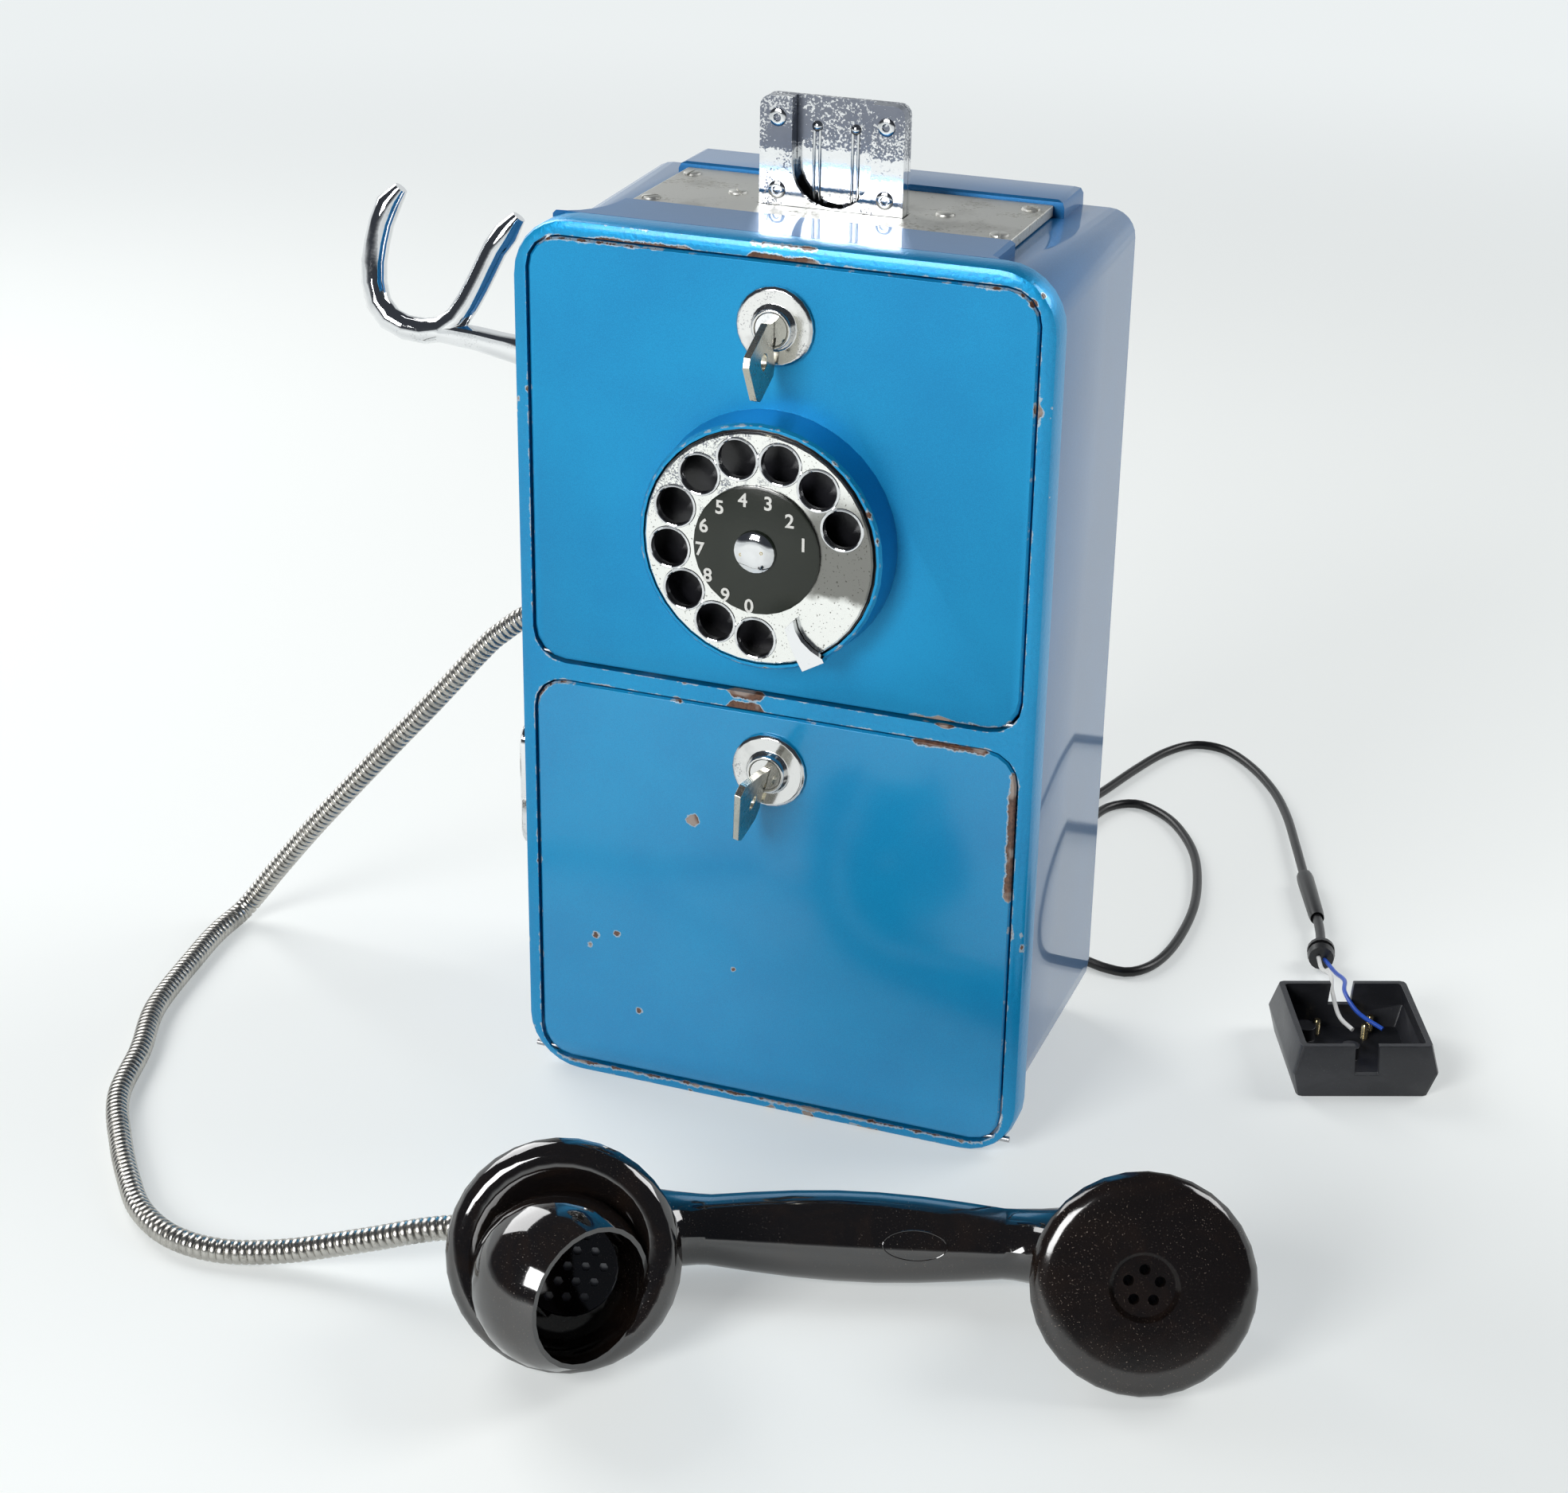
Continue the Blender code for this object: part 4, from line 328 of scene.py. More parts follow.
def wheel_metal():
    """Finger wheel plating: dark patina at the right, bluish tarnish at the upper left, and pits."""
    shade = Shade("wheel_plating", Metallic=1.0)
    x, _, z = shade.split()
    wave = shade.math("MULTIPLY", shade.math("SUBTRACT", shade.noise(120, 3.0), 0.5), 7 * MM)
    x = shade.math("ADD", x, wave)
    z = shade.math("ADD", shade.math("SUBTRACT", z, DIAL.z), wave)
    dark = shade.math("MULTIPLY", shade.step(x, 12 * MM, 20 * MM), shade.step(z, -14 * MM, -11 * MM))
    dark = shade.math("MULTIPLY", dark, shade.step(z, 12 * MM, 26 * MM, 1.0, 0.0))
    tint = shade.mix(shade.math("MULTIPLY", dark, 0.86), WHEEL_BRIGHT, WHEEL_PATINA)
    left = shade.step(x, -2 * MM, 8 * MM, 1.0, 0.0)
    upper_left = shade.math("MULTIPLY", left, shade.step(z, 2 * MM, 10 * MM))
    blue = shade.step(shade.noise(1700, 2.0, 0.65), 0.47, 0.56)
    blue = shade.math("MULTIPLY", blue, shade.step(shade.noise(170, 3.0), 0.44, 0.58))
    blue = shade.math("MULTIPLY", blue, upper_left)
    tint = shade.mix(shade.math("MULTIPLY", blue, 0.8), tint, WHEEL_BLUE)
    pits = shade.step(shade.noise(1300, 1.0, 0.6), 0.66, 0.72)
    tint = shade.mix(shade.math("MULTIPLY", pits, 0.65), tint, WHEEL_PITS)
    rough = shade.math("ADD", shade.math("MULTIPLY", dark, 0.14), 0.17)
    rough = shade.math("ADD", rough, shade.math("MULTIPLY", pits, 0.2))
    ripple = shade.bump(shade.noise(800, 2.0), 0.01 * MM)
    shade.set(Base_Color=tint, Roughness=rough, Normal=ripple)
    return shade.material


def plastic(
    name,
    colour,
    second,
    roughness,
    grain=900,
    bump=0.02 * MM,
    dust=0.0,
    dust_colour=(0.30, 0.24, 0.19),
    ior=1.5,
):
    """Moulded plastic with a faint swirl of a second colour and, where asked, specks of dust."""
    shade = Shade(name, IOR=ior)
    swirl = shade.step(shade.noise(38, 4.0, 0.6, 1.6), 0.42, 0.66)
    tint = shade.mix(swirl, colour, second)
    worn = shade.math("MULTIPLY", shade.noise(140, 4.0, 0.65), 0.08)
    rough = shade.math("ADD", worn, roughness - 0.04)
    if dust:
        spread = shade.step(shade.noise(34, 3.0), 0.40, 0.62)
        spread = shade.math("ADD", shade.math("MULTIPLY", spread, 0.8), 0.2)
        speck = shade.step(shade.noise(2100, 2.0, 0.6), 0.655, 0.72)
        speck = shade.math("MULTIPLY", speck, spread)
        tint = shade.mix(shade.math("MULTIPLY", speck, dust), tint, dust_colour)
        rough = shade.math("ADD", rough, shade.math("MULTIPLY", speck, 0.3))
    shade.set(Base_Color=tint, Roughness=rough, Normal=shade.bump(shade.noise(grain, 2.0), bump))
    return shade.material


# Edges of the nodes from the frame

SMOOTH_DEG = 33
BEVEL_DEG = 38
WELD = 0.002 * MM
BEVELS = {
    "front_frame": 0.45 * MM,
    "upper_door": 0.45 * MM,
    "lower_door": 0.45 * MM,
    "top_plate": 0.5 * MM,
    "housing": 0.8 * MM,
    "chute_front_frame": 0.6 * MM,
    "chute_back_plate": 0.4 * MM,
    "upper_key": 0.3 * MM,
    "lower_key": 0.3 * MM,
    "finger_stop": 0.25 * MM,
    "wall_box": 0.35 * MM,
    "coin_return_bezel": 0.4 * MM,
    "upper_lock_body": 0.4 * MM,
    "lower_lock_body": 0.4 * MM,
}


def dress(material, *names):
    for name in names:
        slots = nodes[name].data.materials
        slots.clear()
        slots.append(material)


def rounding(degrees):
    """A node group that joins the corners of faces and shades them smooth up to an angle."""
    group = bpy.data.node_groups.new(f"shade_smooth_{degrees}", "GeometryNodeTree")
    group.interface.new_socket("Geometry", in_out="INPUT", socket_type="NodeSocketGeometry")
    group.interface.new_socket("Geometry", in_out="OUTPUT", socket_type="NodeSocketGeometry")
    add, link = group.nodes.new, group.links.new
    plain = add("GeometryNodeRemoveAttribute")
    plain.inputs["Name"].default_value = "custom_normal"
    weld = add("GeometryNodeMergeByDistance")
    weld.inputs["Distance"].default_value = WELD
    link(add("NodeGroupInput").outputs[0], plain.inputs["Geometry"])
    link(plain.outputs["Geometry"], weld.inputs["Geometry"])
    last = weld.outputs["Geometry"]
    # All faces and edges smooth, and then the edges above the angle sharp
    for domain, value in (("FACE", True), ("EDGE", True), ("EDGE", False)):
        node = add("GeometryNodeSetShadeSmooth")
        node.domain = domain
        node.inputs["Shade Smooth"].default_value = value
        link(last, node.inputs["Geometry"])
        last = node.outputs["Geometry"]
    compare = add("FunctionNodeCompare")
    compare.data_type = "FLOAT"
    compare.operation = "GREATER_THAN"
    compare.inputs[1].default_value = math.radians(degrees)
    link(add("GeometryNodeInputMeshEdgeAngle").outputs["Unsigned Angle"], compare.inputs[0])
    link(compare.outputs[0], node.inputs["Selection"])
    link(last, add("NodeGroupOutput").inputs[0])
    return group


def smooth_nodes():
    """Smooth shading on every node of the frame, and a small bevel on the edges of some."""
    group = rounding(SMOOTH_DEG)
    for name, target in nodes.items():
        target.modifiers.new("joined", "NODES").node_group = group
        if name in BEVELS:
            modifier = target.modifiers.new("edge", "BEVEL")
            modifier.width = BEVELS[name]
            modifier.segments = 2
            modifier.limit_method = "ANGLE"
            modifier.angle_limit = math.radians(BEVEL_DEG)
            modifier.harden_normals = True
            modifier.use_clamp_overlap = True


# Mesh building

SHARP_DEG = 36


def new_piece(name, bm, material, body):
    bmesh.ops.recalc_face_normals(bm, faces=bm.faces)
    mesh = bpy.data.meshes.new(name)
    bm.to_mesh(mesh)
    bm.free()
    mesh.shade_smooth()
    mesh.set_sharp_from_angle(angle=math.radians(SHARP_DEG))
    mesh.materials.append(material)
    piece = bpy.data.objects.new(name, mesh)
    bpy.context.scene.collection.objects.link(piece)
    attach(piece, body)
    return piece


def across(direction):
    """Two directions at right angles to the given one and to each other."""
    along = Vector(direction).normalized()
    side = Vector((0, 0, 1)) if abs(along.z) < 0.7 else Vector((1, 0, 0))
    first = side.cross(along).normalized()
    return first, along.cross(first)


def circle(middle, first, second, radius, sides):
    """Points round a circle, starting at first and going towards second."""
    ring = []
    for step in range(sides):
        angle = math.tau * step / sides
        ring.append(middle + (first * math.cos(angle) + second * math.sin(angle)) * radius)
    return ring


def skin(bm, rings, closed=False):
    """Faces between rings of points: capped at both ends, or closed from the last to the first."""
    made = [[bm.verts.new(point) for point in ring] for ring in rings]
    pairs = list(zip(made, made[1:]))
    if closed:
        pairs.append((made[-1], made[0]))
    else:
        bm.faces.new(made[0])
        bm.faces.new(reversed(made[-1]))
    for first, second in pairs:
        for index in range(len(first)):
            after = (index + 1) % len(first)
            bm.faces.new((first[index], second[index], second[after], first[after]))


def in_metres(profile):
    return [(height * MM, radius * MM) for height, radius in profile]


def turned(bm, profile, centre, direction, sides, closed=False):
    """A turned form: the profile gives height along the direction and radius."""
    along = Vector(direction).normalized()
    first, second = across(along)
    rings = []
    for height, radius in profile:
        rings.append(circle(Vector(centre) + along * height, first, second, radius, sides))
    skin(bm, rings, closed)


CURVE_STEPS = 24


def smooth_route(places, spacing):
    """Evenly spaced points along a smooth curve through places in millimetres, and its length."""
    points = [Vector(place) * MM for place in places]
    ends = [points[0] * 2 - points[1]] + points + [points[-1] * 2 - points[-2]]
    fine = []
    for a, b, c, d in zip(ends, ends[1:], ends[2:], ends[3:]):
        for step in range(CURVE_STEPS):
            t = step / CURVE_STEPS
            bend = (a * 2 - b * 5 + c * 4 - d) * t**2
            twist = (b * 3 - a - c * 3 + d) * t**3
            fine.append((b * 2 + (c - a) * t + bend + twist) / 2)
    fine.append(points[-1])
    total = sum((q - p).length for p, q in zip(fine, fine[1:]))
    count = max(2, round(total / spacing))
    route = [fine[0]]
    travelled = 0
    for p, q in zip(fine, fine[1:]):
        length = (q - p).length
        while len(route) < count and travelled + length >= total * len(route) / count:
            share = (total * len(route) / count - travelled) / length
            route.append(p.lerp(q, share))
        travelled += length
    route.append(fine[-1])
    return route, total


def sweep_rings(route, radii, sides):
    """Rings round a route that turn with it and don't twist."""
    rings = []
    normal = None
    for index, point in enumerate(route):
        before = route[max(index - 1, 0)]
        after = route[min(index + 1, len(route) - 1)]
        along = (after - before).normalized()
        if normal is None:
            normal = across(along)[0]
        normal = (normal - along * normal.dot(along)).normalized()
        rings.append(circle(point, normal, along.cross(normal), radii[index], sides))
    return rings


# Cords. Their routes are those of the solids, in millimetres.

HOSE_ROUTE = [
    (-88.0, 46.0, 151.8),
    (-96.0, 46.0, 151.6),
    (-104.5, 46.0, 149.6),
    (-113.3, 46.0, 144.6),
    (-120.6, 46.0, 138.6),
    (-127.6, 46.0, 131.9),
    (-149.2, 46.2, 106.7),
    (-174.3, 46.6, 78.3),
    (-200.4, 47.6, 48.2),
    (-219.0, 49.5, 25.5),
    (-229.5, 50.2, 12.0),
    (-234.5, 46.0, 5.2),
    (-235.5, 30.0, 4.1),
    (-233.3, 11.2, 4.1),
    (-226.5, -28.9, 4.1),
    (-215.1, -57.9, 4.1),
    (-205.3, -87.5, 4.1),
    (-188.3, -113.1, 4.1),
    (-172.6, -132.8, 4.1),
    (-161.5, -144.5, 4.1),
    (-148.2, -152.8, 4.1),
    (-135.6, -155.9, 4.1),
    (-123.7, -155.2, 4.1),
    (-112.6, -152.6, 5.0),
    (-101.1, -149.8, 7.0),
    (-88.9, -147.2, 10.5),
    (-75.0, -144.6, 14.8),
    (-63.5, -142.2, 18.6),
    (-52.6, -139.45, 21.0),
    (-44.75, -137.01, 21.0),
]
CORD_ROUTE = [
    (30.0, 109.5, 40.0),
    (30.1, 114.0, 39.6),
    (30.4, 124.0, 34.0),
    (30.9, 133.0, 23.0),
    (31.6, 141.0, 12.0),
    (32.4, 149.5, 4.8),
    (33.2, 159.0, 2.1),
    (35.0, 182.0, 2.1),
    (38.0, 210.0, 2.1),
    (41.0, 236.0, 2.1),
    (44.0, 256.0, 2.1),
    (48.0, 269.5, 2.1),
    (57.0, 276.5, 2.1),
    (67.6, 272.8, 2.1),
    (78.4, 262.4, 2.1),
    (89.7, 243.0, 2.1),
    (97.2, 220.5, 2.1),
    (102.3, 192.5, 2.1),
    (102.8, 163.6, 2.1),
    (99.5, 143.6, 2.1),
    (92.5, 133.4, 2.1),
    (83.0, 133.0, 2.1),
    (72.0, 136.4, 2.1),
    (60.0, 136.0, 2.1),
    (46.0, 131.0, 2.1),
    (30.0, 126.0, 2.1),
    (15.0, 131.0, 2.1),
    (8.5, 150.0, 2.1),
    (10.0, 184.0, 2.1),
    (18.0, 216.0, 2.1),
    (28.0, 246.0, 2.1),
    (36.0, 266.0, 2.1),
    (41.4, 282.6, 2.1),
    (48.9, 310.8, 2.1),
    (56.2, 332.0, 2.1),
    (66.0, 344.6, 2.1),
    (79.5, 344.6, 2.1),
    (93.8, 332.0, 2.2),
    (108.0, 311.0, 2.6),
    (118.9, 287.1, 3.2),
    (128.9, 258.3, 3.8),
    (137.5, 232.7, 4.2),
    (143.6, 215.2, 4.5),
    (149.7, 197.6, 4.9),
    (153.4, 184.9, 5.3),
    (156.0, 173.0, 5.6),
]
WIRE_ROUTES = {
    "white_wire": [
        (156.9, 163.64, 6.3),
        (160.6, 151.0, 8.6),
        (166.0, 138.0, 13.5),
        (169.0, 125.0, 14.5),
        (174.0, 114.0, 11.0),
        (180.0, 108.5, 9.5),
    ],
    "blue_wire": [
        (159.2, 164.14, 5.6),
        (165.5, 152.0, 7.6),
        (171.0, 139.0, 12.0),
        (173.2, 128.0, 13.2),
        (180.0, 118.0, 11.5),
        (190.0, 113.0, 9.5),
    ],
}
HOSE_R = 3.9 * MM
HOSE_END_R = HOSE_R * 0.97
HOSE_GROOVE_R = 3.3 * MM
HOSE_BORE_R = 2.3 * MM
HOSE_PITCH = 2.45 * MM
HOSE_PLAIN = HOSE_R * 1.2
HOSE_SIDES = 20
HOSE_SHARP_DEG = 60
# One rib of the hose: share of its pitch, and share of its height above the groove
HOSE_RIB = ((0.10, 0.0), (0.24, 0.82), (0.42, 1.0), (0.80, 0.98), (0.93, 0.7))
HAIR = 0.001 * MM
CORD_R = 1.85 * MM
WIRE_R = 0.8 * MM


def along_route(route):
    """A function that gives the point at a distance along a route."""
    lengths = [0]
    for p, q in zip(route, route[1:]):
        lengths.append(lengths[-1] + (q - p).length)

    def at(distance):
        for index in range(1, len(route)):
            if lengths[index] >= distance:
                share = (distance - lengths[index - 1]) / (lengths[index] - lengths[index - 1])
                return route[index - 1].lerp(route[index], max(share, 0))
        return route[-1]

    return at


def armoured_hose(material):
    route, total = smooth_route(HOSE_ROUTE, 4 * MM)
    at = along_route(route)
    stations = [(0, HOSE_BORE_R), (0, HOSE_END_R), (HOSE_PLAIN, HOSE_R)]
    ribs = int((total - HOSE_PLAIN * 2) / HOSE_PITCH)
    pitch = (total - HOSE_PLAIN * 2) / ribs
    for rib in range(ribs):
        start = HOSE_PLAIN + pitch * rib
        for share, rise in HOSE_RIB:
            radius = HOSE_GROOVE_R + (HOSE_R - HOSE_GROOVE_R) * rise
            stations.append((start + pitch * share, radius))
    stations += [(total - HOSE_PLAIN * 0.5, HOSE_R), (total, HOSE_END_R), (total, HOSE_BORE_R)]
    points = [at(distance) for distance, _ in stations]
    radii = [radius for _, radius in stations]
    # The two rings at each end lie a hair apart, so that the sweep has a direction there
    points[1] = points[0] + (route[1] - route[0]).normalized() * HAIR
    points[-1] = points[-2] + (route[-1] - route[-2]).normalized() * HAIR
    bm = bmesh.new()
    skin(bm, sweep_rings(points, radii, HOSE_SIDES))
    piece = new_piece("hose_armour", bm, material, "box")
    piece.data.set_sharp_from_angle(angle=math.radians(HOSE_SHARP_DEG))
    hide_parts("armoured_hose")


def flexible(name, places, radius, material, spacing):
    """A round cord along a smooth curve through places in millimetres."""
    route, total = smooth_route(places, spacing)
    curve = bpy.data.curves.new(name, "CURVE")
    curve.dimensions = "3D"
    curve.bevel_depth = radius
    curve.bevel_resolution = 5
    curve.use_fill_caps = True
    spline = curve.splines.new("POLY")
    spline.points.add(len(route) - 1)
    for point, place in zip(spline.points, route):
        point.co = (*place, 1)
    spline.use_smooth = True
    curve.materials.append(material)
    piece = bpy.data.objects.new(name, curve)
    bpy.context.scene.collection.objects.link(piece)
    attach(piece, "box")
    return piece, total


def line_cords(rubber, white, blue):
    cord, total = flexible("supply_cord", CORD_ROUTE, CORD_R, rubber, 3 * MM)
    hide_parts("line_cord")
    for name, material in (("white_wire", white), ("blue_wire", blue)):
        wire, length = flexible(name + "_core", WIRE_ROUTES[name], WIRE_R, material, 1.5 * MM)
        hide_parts(name)


# Floor and light

FLOOR_HALF = 9.0
# Distances from the part between which the paper fades into the backdrop
FLOOR_NEAR = 0.75
FLOOR_FAR = 1.9
FLOOR_GLOW = 0.47
PAPER = ((0.525, 0.535, 0.52), (0.54, 0.55, 0.535))
PALE = (0.80, 0.835, 0.84)
BACKDROP = (0.74, 0.77, 0.78, 1)
DARK_ROOM = (0.045, 0.05, 0.06, 1)
# Where each lamp stands, the point it faces, the length of its sides and its power
SOFTBOXES = {
    "left_softbox": ((-1.15, 0.55, 1.0), (0, 0, 0.1), 0.95, 14.5),
    "right_softbox": ((1.15, 0.75, 1.15), (0, 0, 0.1), 0.8, 12),
    "front_softbox": ((-0.45, -1.60, 0.95), (0, 0, 0.15), 0.75, 24),
}


def floor():
    """A sheet of pale paper that takes on the backdrop's colour far away."""
    bm = bmesh.new()
    corners = [(-FLOOR_HALF, -FLOOR_HALF), (FLOOR_HALF, -FLOOR_HALF)]
    corners += [(FLOOR_HALF, FLOOR_HALF), (-FLOOR_HALF, FLOOR_HALF)]
    bm.faces.new([bm.verts.new((x, y, 0)) for x, y in corners])
    mesh = bpy.data.meshes.new("floor")
    bm.to_mesh(mesh)
    bm.free()
    sheet = bpy.data.objects.new("floor", mesh)
    bpy.context.scene.collection.objects.link(sheet)
    shade = Shade("floor_paper", Roughness=0.6, Specular_IOR_Level=0.25)
    x, y, _ = shade.split()
    far = shade.step(shade.length(x, y), FLOOR_NEAR, FLOOR_FAR)
    paper = shade.mix(shade.noise(3, 2.0), *PAPER)
    rays = shade.tree.nodes.new("ShaderNodeLightPath").outputs
    shown = shade.largest([rays[f"Is {kind} Ray"] for kind in ("Camera", "Glossy", "Transmission")])
    glow = shade.math("ADD", shade.math("MULTIPLY", far, 1 - FLOOR_GLOW), FLOOR_GLOW)
    shade.set(Base_Color=shade.mix(shade.math("MULTIPLY", far, shown), paper, (0.0, 0.0, 0.0)))
    shade.set(Emission_Color=(*PALE, 1.0), Emission_Strength=shade.math("MULTIPLY", glow, shown))
    mesh.materials.append(shade.material)


def world():
    """Pale backdrop low down and behind, a dark room above and in front."""
    studio = bpy.data.worlds.new("studio")
    bpy.context.scene.world = studio
    studio.use_nodes = True
    tree = studio.node_tree
    background = tree.nodes["Background"]

    def put(kind, *values, output=0, **settings):
        node = tree.nodes.new(kind)
        for key, value in settings.items():
            setattr(node, key, value)
        for index, value in values:
            if isinstance(value, bpy.types.NodeSocket):
                tree.links.new(value, node.inputs[index])
            else:
                node.inputs[index].default_value = value
        return node.outputs[output]

    def blend(factor, first, second):
        values = ((0, factor), (6, first), (7, second))
        return put("ShaderNodeMix", *values, output=2, data_type="RGBA")

    def ease(*values):
        return put("ShaderNodeMapRange", *values, interpolation_type="SMOOTHSTEP")

    where = tree.nodes.new("ShaderNodeTexCoord").outputs["Generated"]
    toward_back = put("ShaderNodeSeparateXYZ", (0, where), output=1)
    upward = put("ShaderNodeSeparateXYZ", (0, where), output=2)
    # The height where the backdrop starts to darken rises towards the back
    edge = ease((0, toward_back), (1, -0.15), (2, 0.6), (3, -0.10), (4, 0.40))
    top = put("ShaderNodeMath", (0, edge), (1, 0.22), operation="ADD")
    room = blend(ease((0, upward), (1, edge), (2, top)), BACKDROP, DARK_ROOM)
    seen = tree.nodes.new("ShaderNodeLightPath").outputs["Is Camera Ray"]
    tree.links.new(blend(seen, room, (*PALE, 1)), background.inputs["Color"])
    background.inputs["Strength"].default_value = 1.0


def lamps():
    for name, (at, toward, side, power) in SOFTBOXES.items():
        data = bpy.data.lights.new(name, "AREA")
        data.shape = "RECTANGLE"
        data.size = side
        data.size_y = side
        data.energy = power
        lamp = bpy.data.objects.new(name, data)
        lamp.location = at
        lamp.rotation_euler = (Vector(toward) - Vector(at)).to_track_quat("-Z", "Y").to_euler()
        bpy.context.scene.collection.objects.link(lamp)


# Fine pieces

DIAL = Vector((0, -0.006, 0.20985))
WHEEL_PROUD = 13.8 * MM
WHEEL_T = 1.5 * MM
FINGER_HOLE_R = 6.5 * MM
FINGER_CIRCLE_R = 29.64 * MM
FIRST_HOLE_DEG = 20.6
HOLE_STEP_DEG = 27.65
CARD_FACE = 15.1 * MM
DIGIT_HEIGHT = 6.2 * MM
DIGIT_THICKNESS = 0.12 * MM
DIGIT_BOLD = 0.12 * MM
# Centres of the digits 1 to 9 and 0 from the middle of the card, in X and Z
DIGIT_PLACES = [
    (15.7, 4.1),
    (11.1, 11.3),
    (4.0, 16.0),
    (-4.4, 16.1),
    (-12.1, 12.7),
    (-17.4, 5.9),
    (-18.7, -2.0),
    (-16.0, -10.4),
    (-10.0, -16.2),
    (-2.0, -18.7),
]
OUT = Vector((0, -1, 0))
UP = Vector((0, 0, 1))
# How far small trim stands off its face, and how far off a ray starts that finds a face
PROUD = 0.1 * MM
RAY_START = 40 * MM
# Rim of a finger hole: height in front of the dial's face, and radius beyond the rim's inside
RIM_BACK = WHEEL_PROUD - WHEEL_T - 0.7 * MM
RIM = [
    (RIM_BACK, 0.0),
    (RIM_BACK, 0.5 * MM),
    (WHEEL_PROUD - 0.1 * MM, 0.5 * MM),
    (WHEEL_PROUD + 0.02 * MM, 1.05 * MM),
    (WHEEL_PROUD + 0.30 * MM, 0.85 * MM),
    (WHEEL_PROUD + 0.38 * MM, 0.45 * MM),
    (WHEEL_PROUD + 0.22 * MM, 0.12 * MM),
]
RIM_INSIDE_R = FINGER_HOLE_R - 0.35 * MM


def finger_places():
    places = []
    for index in range(10):
        angle = math.radians(FIRST_HOLE_DEG + HOLE_STEP_DEG * index)
        places.append(DIAL + Vector((math.cos(angle), 0, math.sin(angle))) * FINGER_CIRCLE_R)
    return places


def dial_trim(chrome, ink):
    """The rims of the finger holes and the digits on the card."""
    bm = bmesh.new()
    rim = [(height, RIM_INSIDE_R + radius) for height, radius in RIM]
    for centre in finger_places():
        turned(bm, rim, centre, OUT, 40, closed=True)
    new_piece("finger_hole_rims", bm, chrome, "finger_wheel")
    for index, (x, z) in enumerate(DIGIT_PLACES):
        data = bpy.data.curves.new("digit", "FONT")
        data.body = str((index + 1) % 10)
        data.size = DIGIT_HEIGHT
        data.align_x = "CENTER"
        data.align_y = "CENTER"
        data.extrude = DIGIT_THICKNESS
        data.offset = DIGIT_BOLD
        data.materials.append(ink)
        digit = bpy.data.objects.new("dial_digit_" + data.body, data)
        digit.location = DIAL + Vector((x * MM, -CARD_FACE - DIGIT_THICKNESS * 0.5, z * MM))
        digit.rotation_euler = (math.pi / 2, 0, 0)
        bpy.context.scene.collection.objects.link(digit)
        bpy.context.view_layer.update()
        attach(digit, "finger_wheel")


# Screws of the top plate, in X and Y
TOP_SCREWS = [(58.0, 33.3), (58.0, 68.0), (35.0, 50.7), (-58.0, 33.3), (-58.0, 68.0), (-35.0, 50.7)]
TOP_SCREW_R = 3.1 * MM
SCREW_HEAD_H = 0.7 * MM
SCREW_STEPS = 12
# Lift and growth of the rings of a screw head, as shares of its height and radius
SCREW_DOME = ((-1.0, 1.0), (0.0, 1.0), (0.7, 0.93), (1.0, 0.8))


def screw_head(bm, centre, radius, slot_angle):
    """A domed screw head: a half on each side of its slot, and a lower block between them."""
    first, second = across(UP)
    groove = first * math.cos(slot_angle) + second * math.sin(slot_angle)
    side = UP.cross(groove)
    half = radius * 0.14
    limit = math.asin(half / radius)
    outline = []
    for step in range(SCREW_STEPS + 1):
        angle = limit + (math.pi - limit * 2) * step / SCREW_STEPS
        outline.append((math.cos(angle) * radius, math.sin(angle) * radius))
    for sign in (-1, 1):
        rings = []
        for lift, grow in SCREW_DOME:
            middle = centre + UP * lift * SCREW_HEAD_H
            ring = []
            for a, b in outline:
                ring.append(middle + groove * a * grow + side * sign * (half + (b - half) * grow))
            rings.append(ring)
        skin(bm, rings)
    corners = ((-radius, -half), (radius, -half), (radius, half), (-radius, half))
    low = [centre + groove * a + side * b - UP * SCREW_HEAD_H for a, b in corners]
    high = [point + UP * SCREW_HEAD_H * 0.55 for point in low]
    skin(bm, [low, high])


# Profiles of small turned forms: height and radius
EYELET = [(-2.0, 1.05), (-2.0, 1.7), (0.05, 1.7), (0.05, 2.9)]
EYELET += [(0.45, 2.7), (0.75, 2.0), (0.7, 1.3), (0.3, 1.05)]
PIN_RIM = [(-0.4, 0.25), (-0.4, 0.55), (0.03, 0.55), (0.04, 0.25)]
PIN_FLOOR = [(-0.4, 0.27), (-0.05, 0.27)]
BEAD_HEAD = [(-0.9, 0.9), (0.1, 1.75), (0.55, 1.5), (0.95, 0.9), (1.1, 0.3)]
# Pin holes of the dial's cap from its middle, in X and Z
CAP_PINS = [(-4.1, -0.8), (2.8, 0.6)]
# Rivets and beads of the chute: how far to each side of its middle, and how far below its top
RIVET_X = 18.0 * MM
RIVET_DROPS = (6.7 * MM, 29.7 * MM)
BEAD_X = 6.4 * MM
BEAD_DROPS = (33.0 * MM, 9.5 * MM)
BEAD_RAIL_X = 0.95 * MM
BEAD_RAIL_R = 0.5 * MM


def small_fasteners(zinc, chrome):
    """Screws of the top plate and hollow rivets of the chute."""
    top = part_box("top_plate")[1].z
    bm = bmesh.new()
    for index, (x, y) in enumerate(TOP_SCREWS):
        screw_head(bm, Vector((x * MM, y * MM, top + PROUD)), TOP_SCREW_R, 0.7 * index + 0.3)
    new_piece("top_plate_screws", bm, zinc, "box")
    chute_low, chute_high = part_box("chute_front_frame")
    bm = bmesh.new()
    for x in (-RIVET_X, RIVET_X):
        for drop in RIVET_DROPS:
            centre = Vector((x, chute_low.y, chute_high.z - drop))
            turned(bm, in_metres(EYELET), centre, OUT, 32, closed=True)
    new_piece("chute_rivets", bm, chrome, "box")


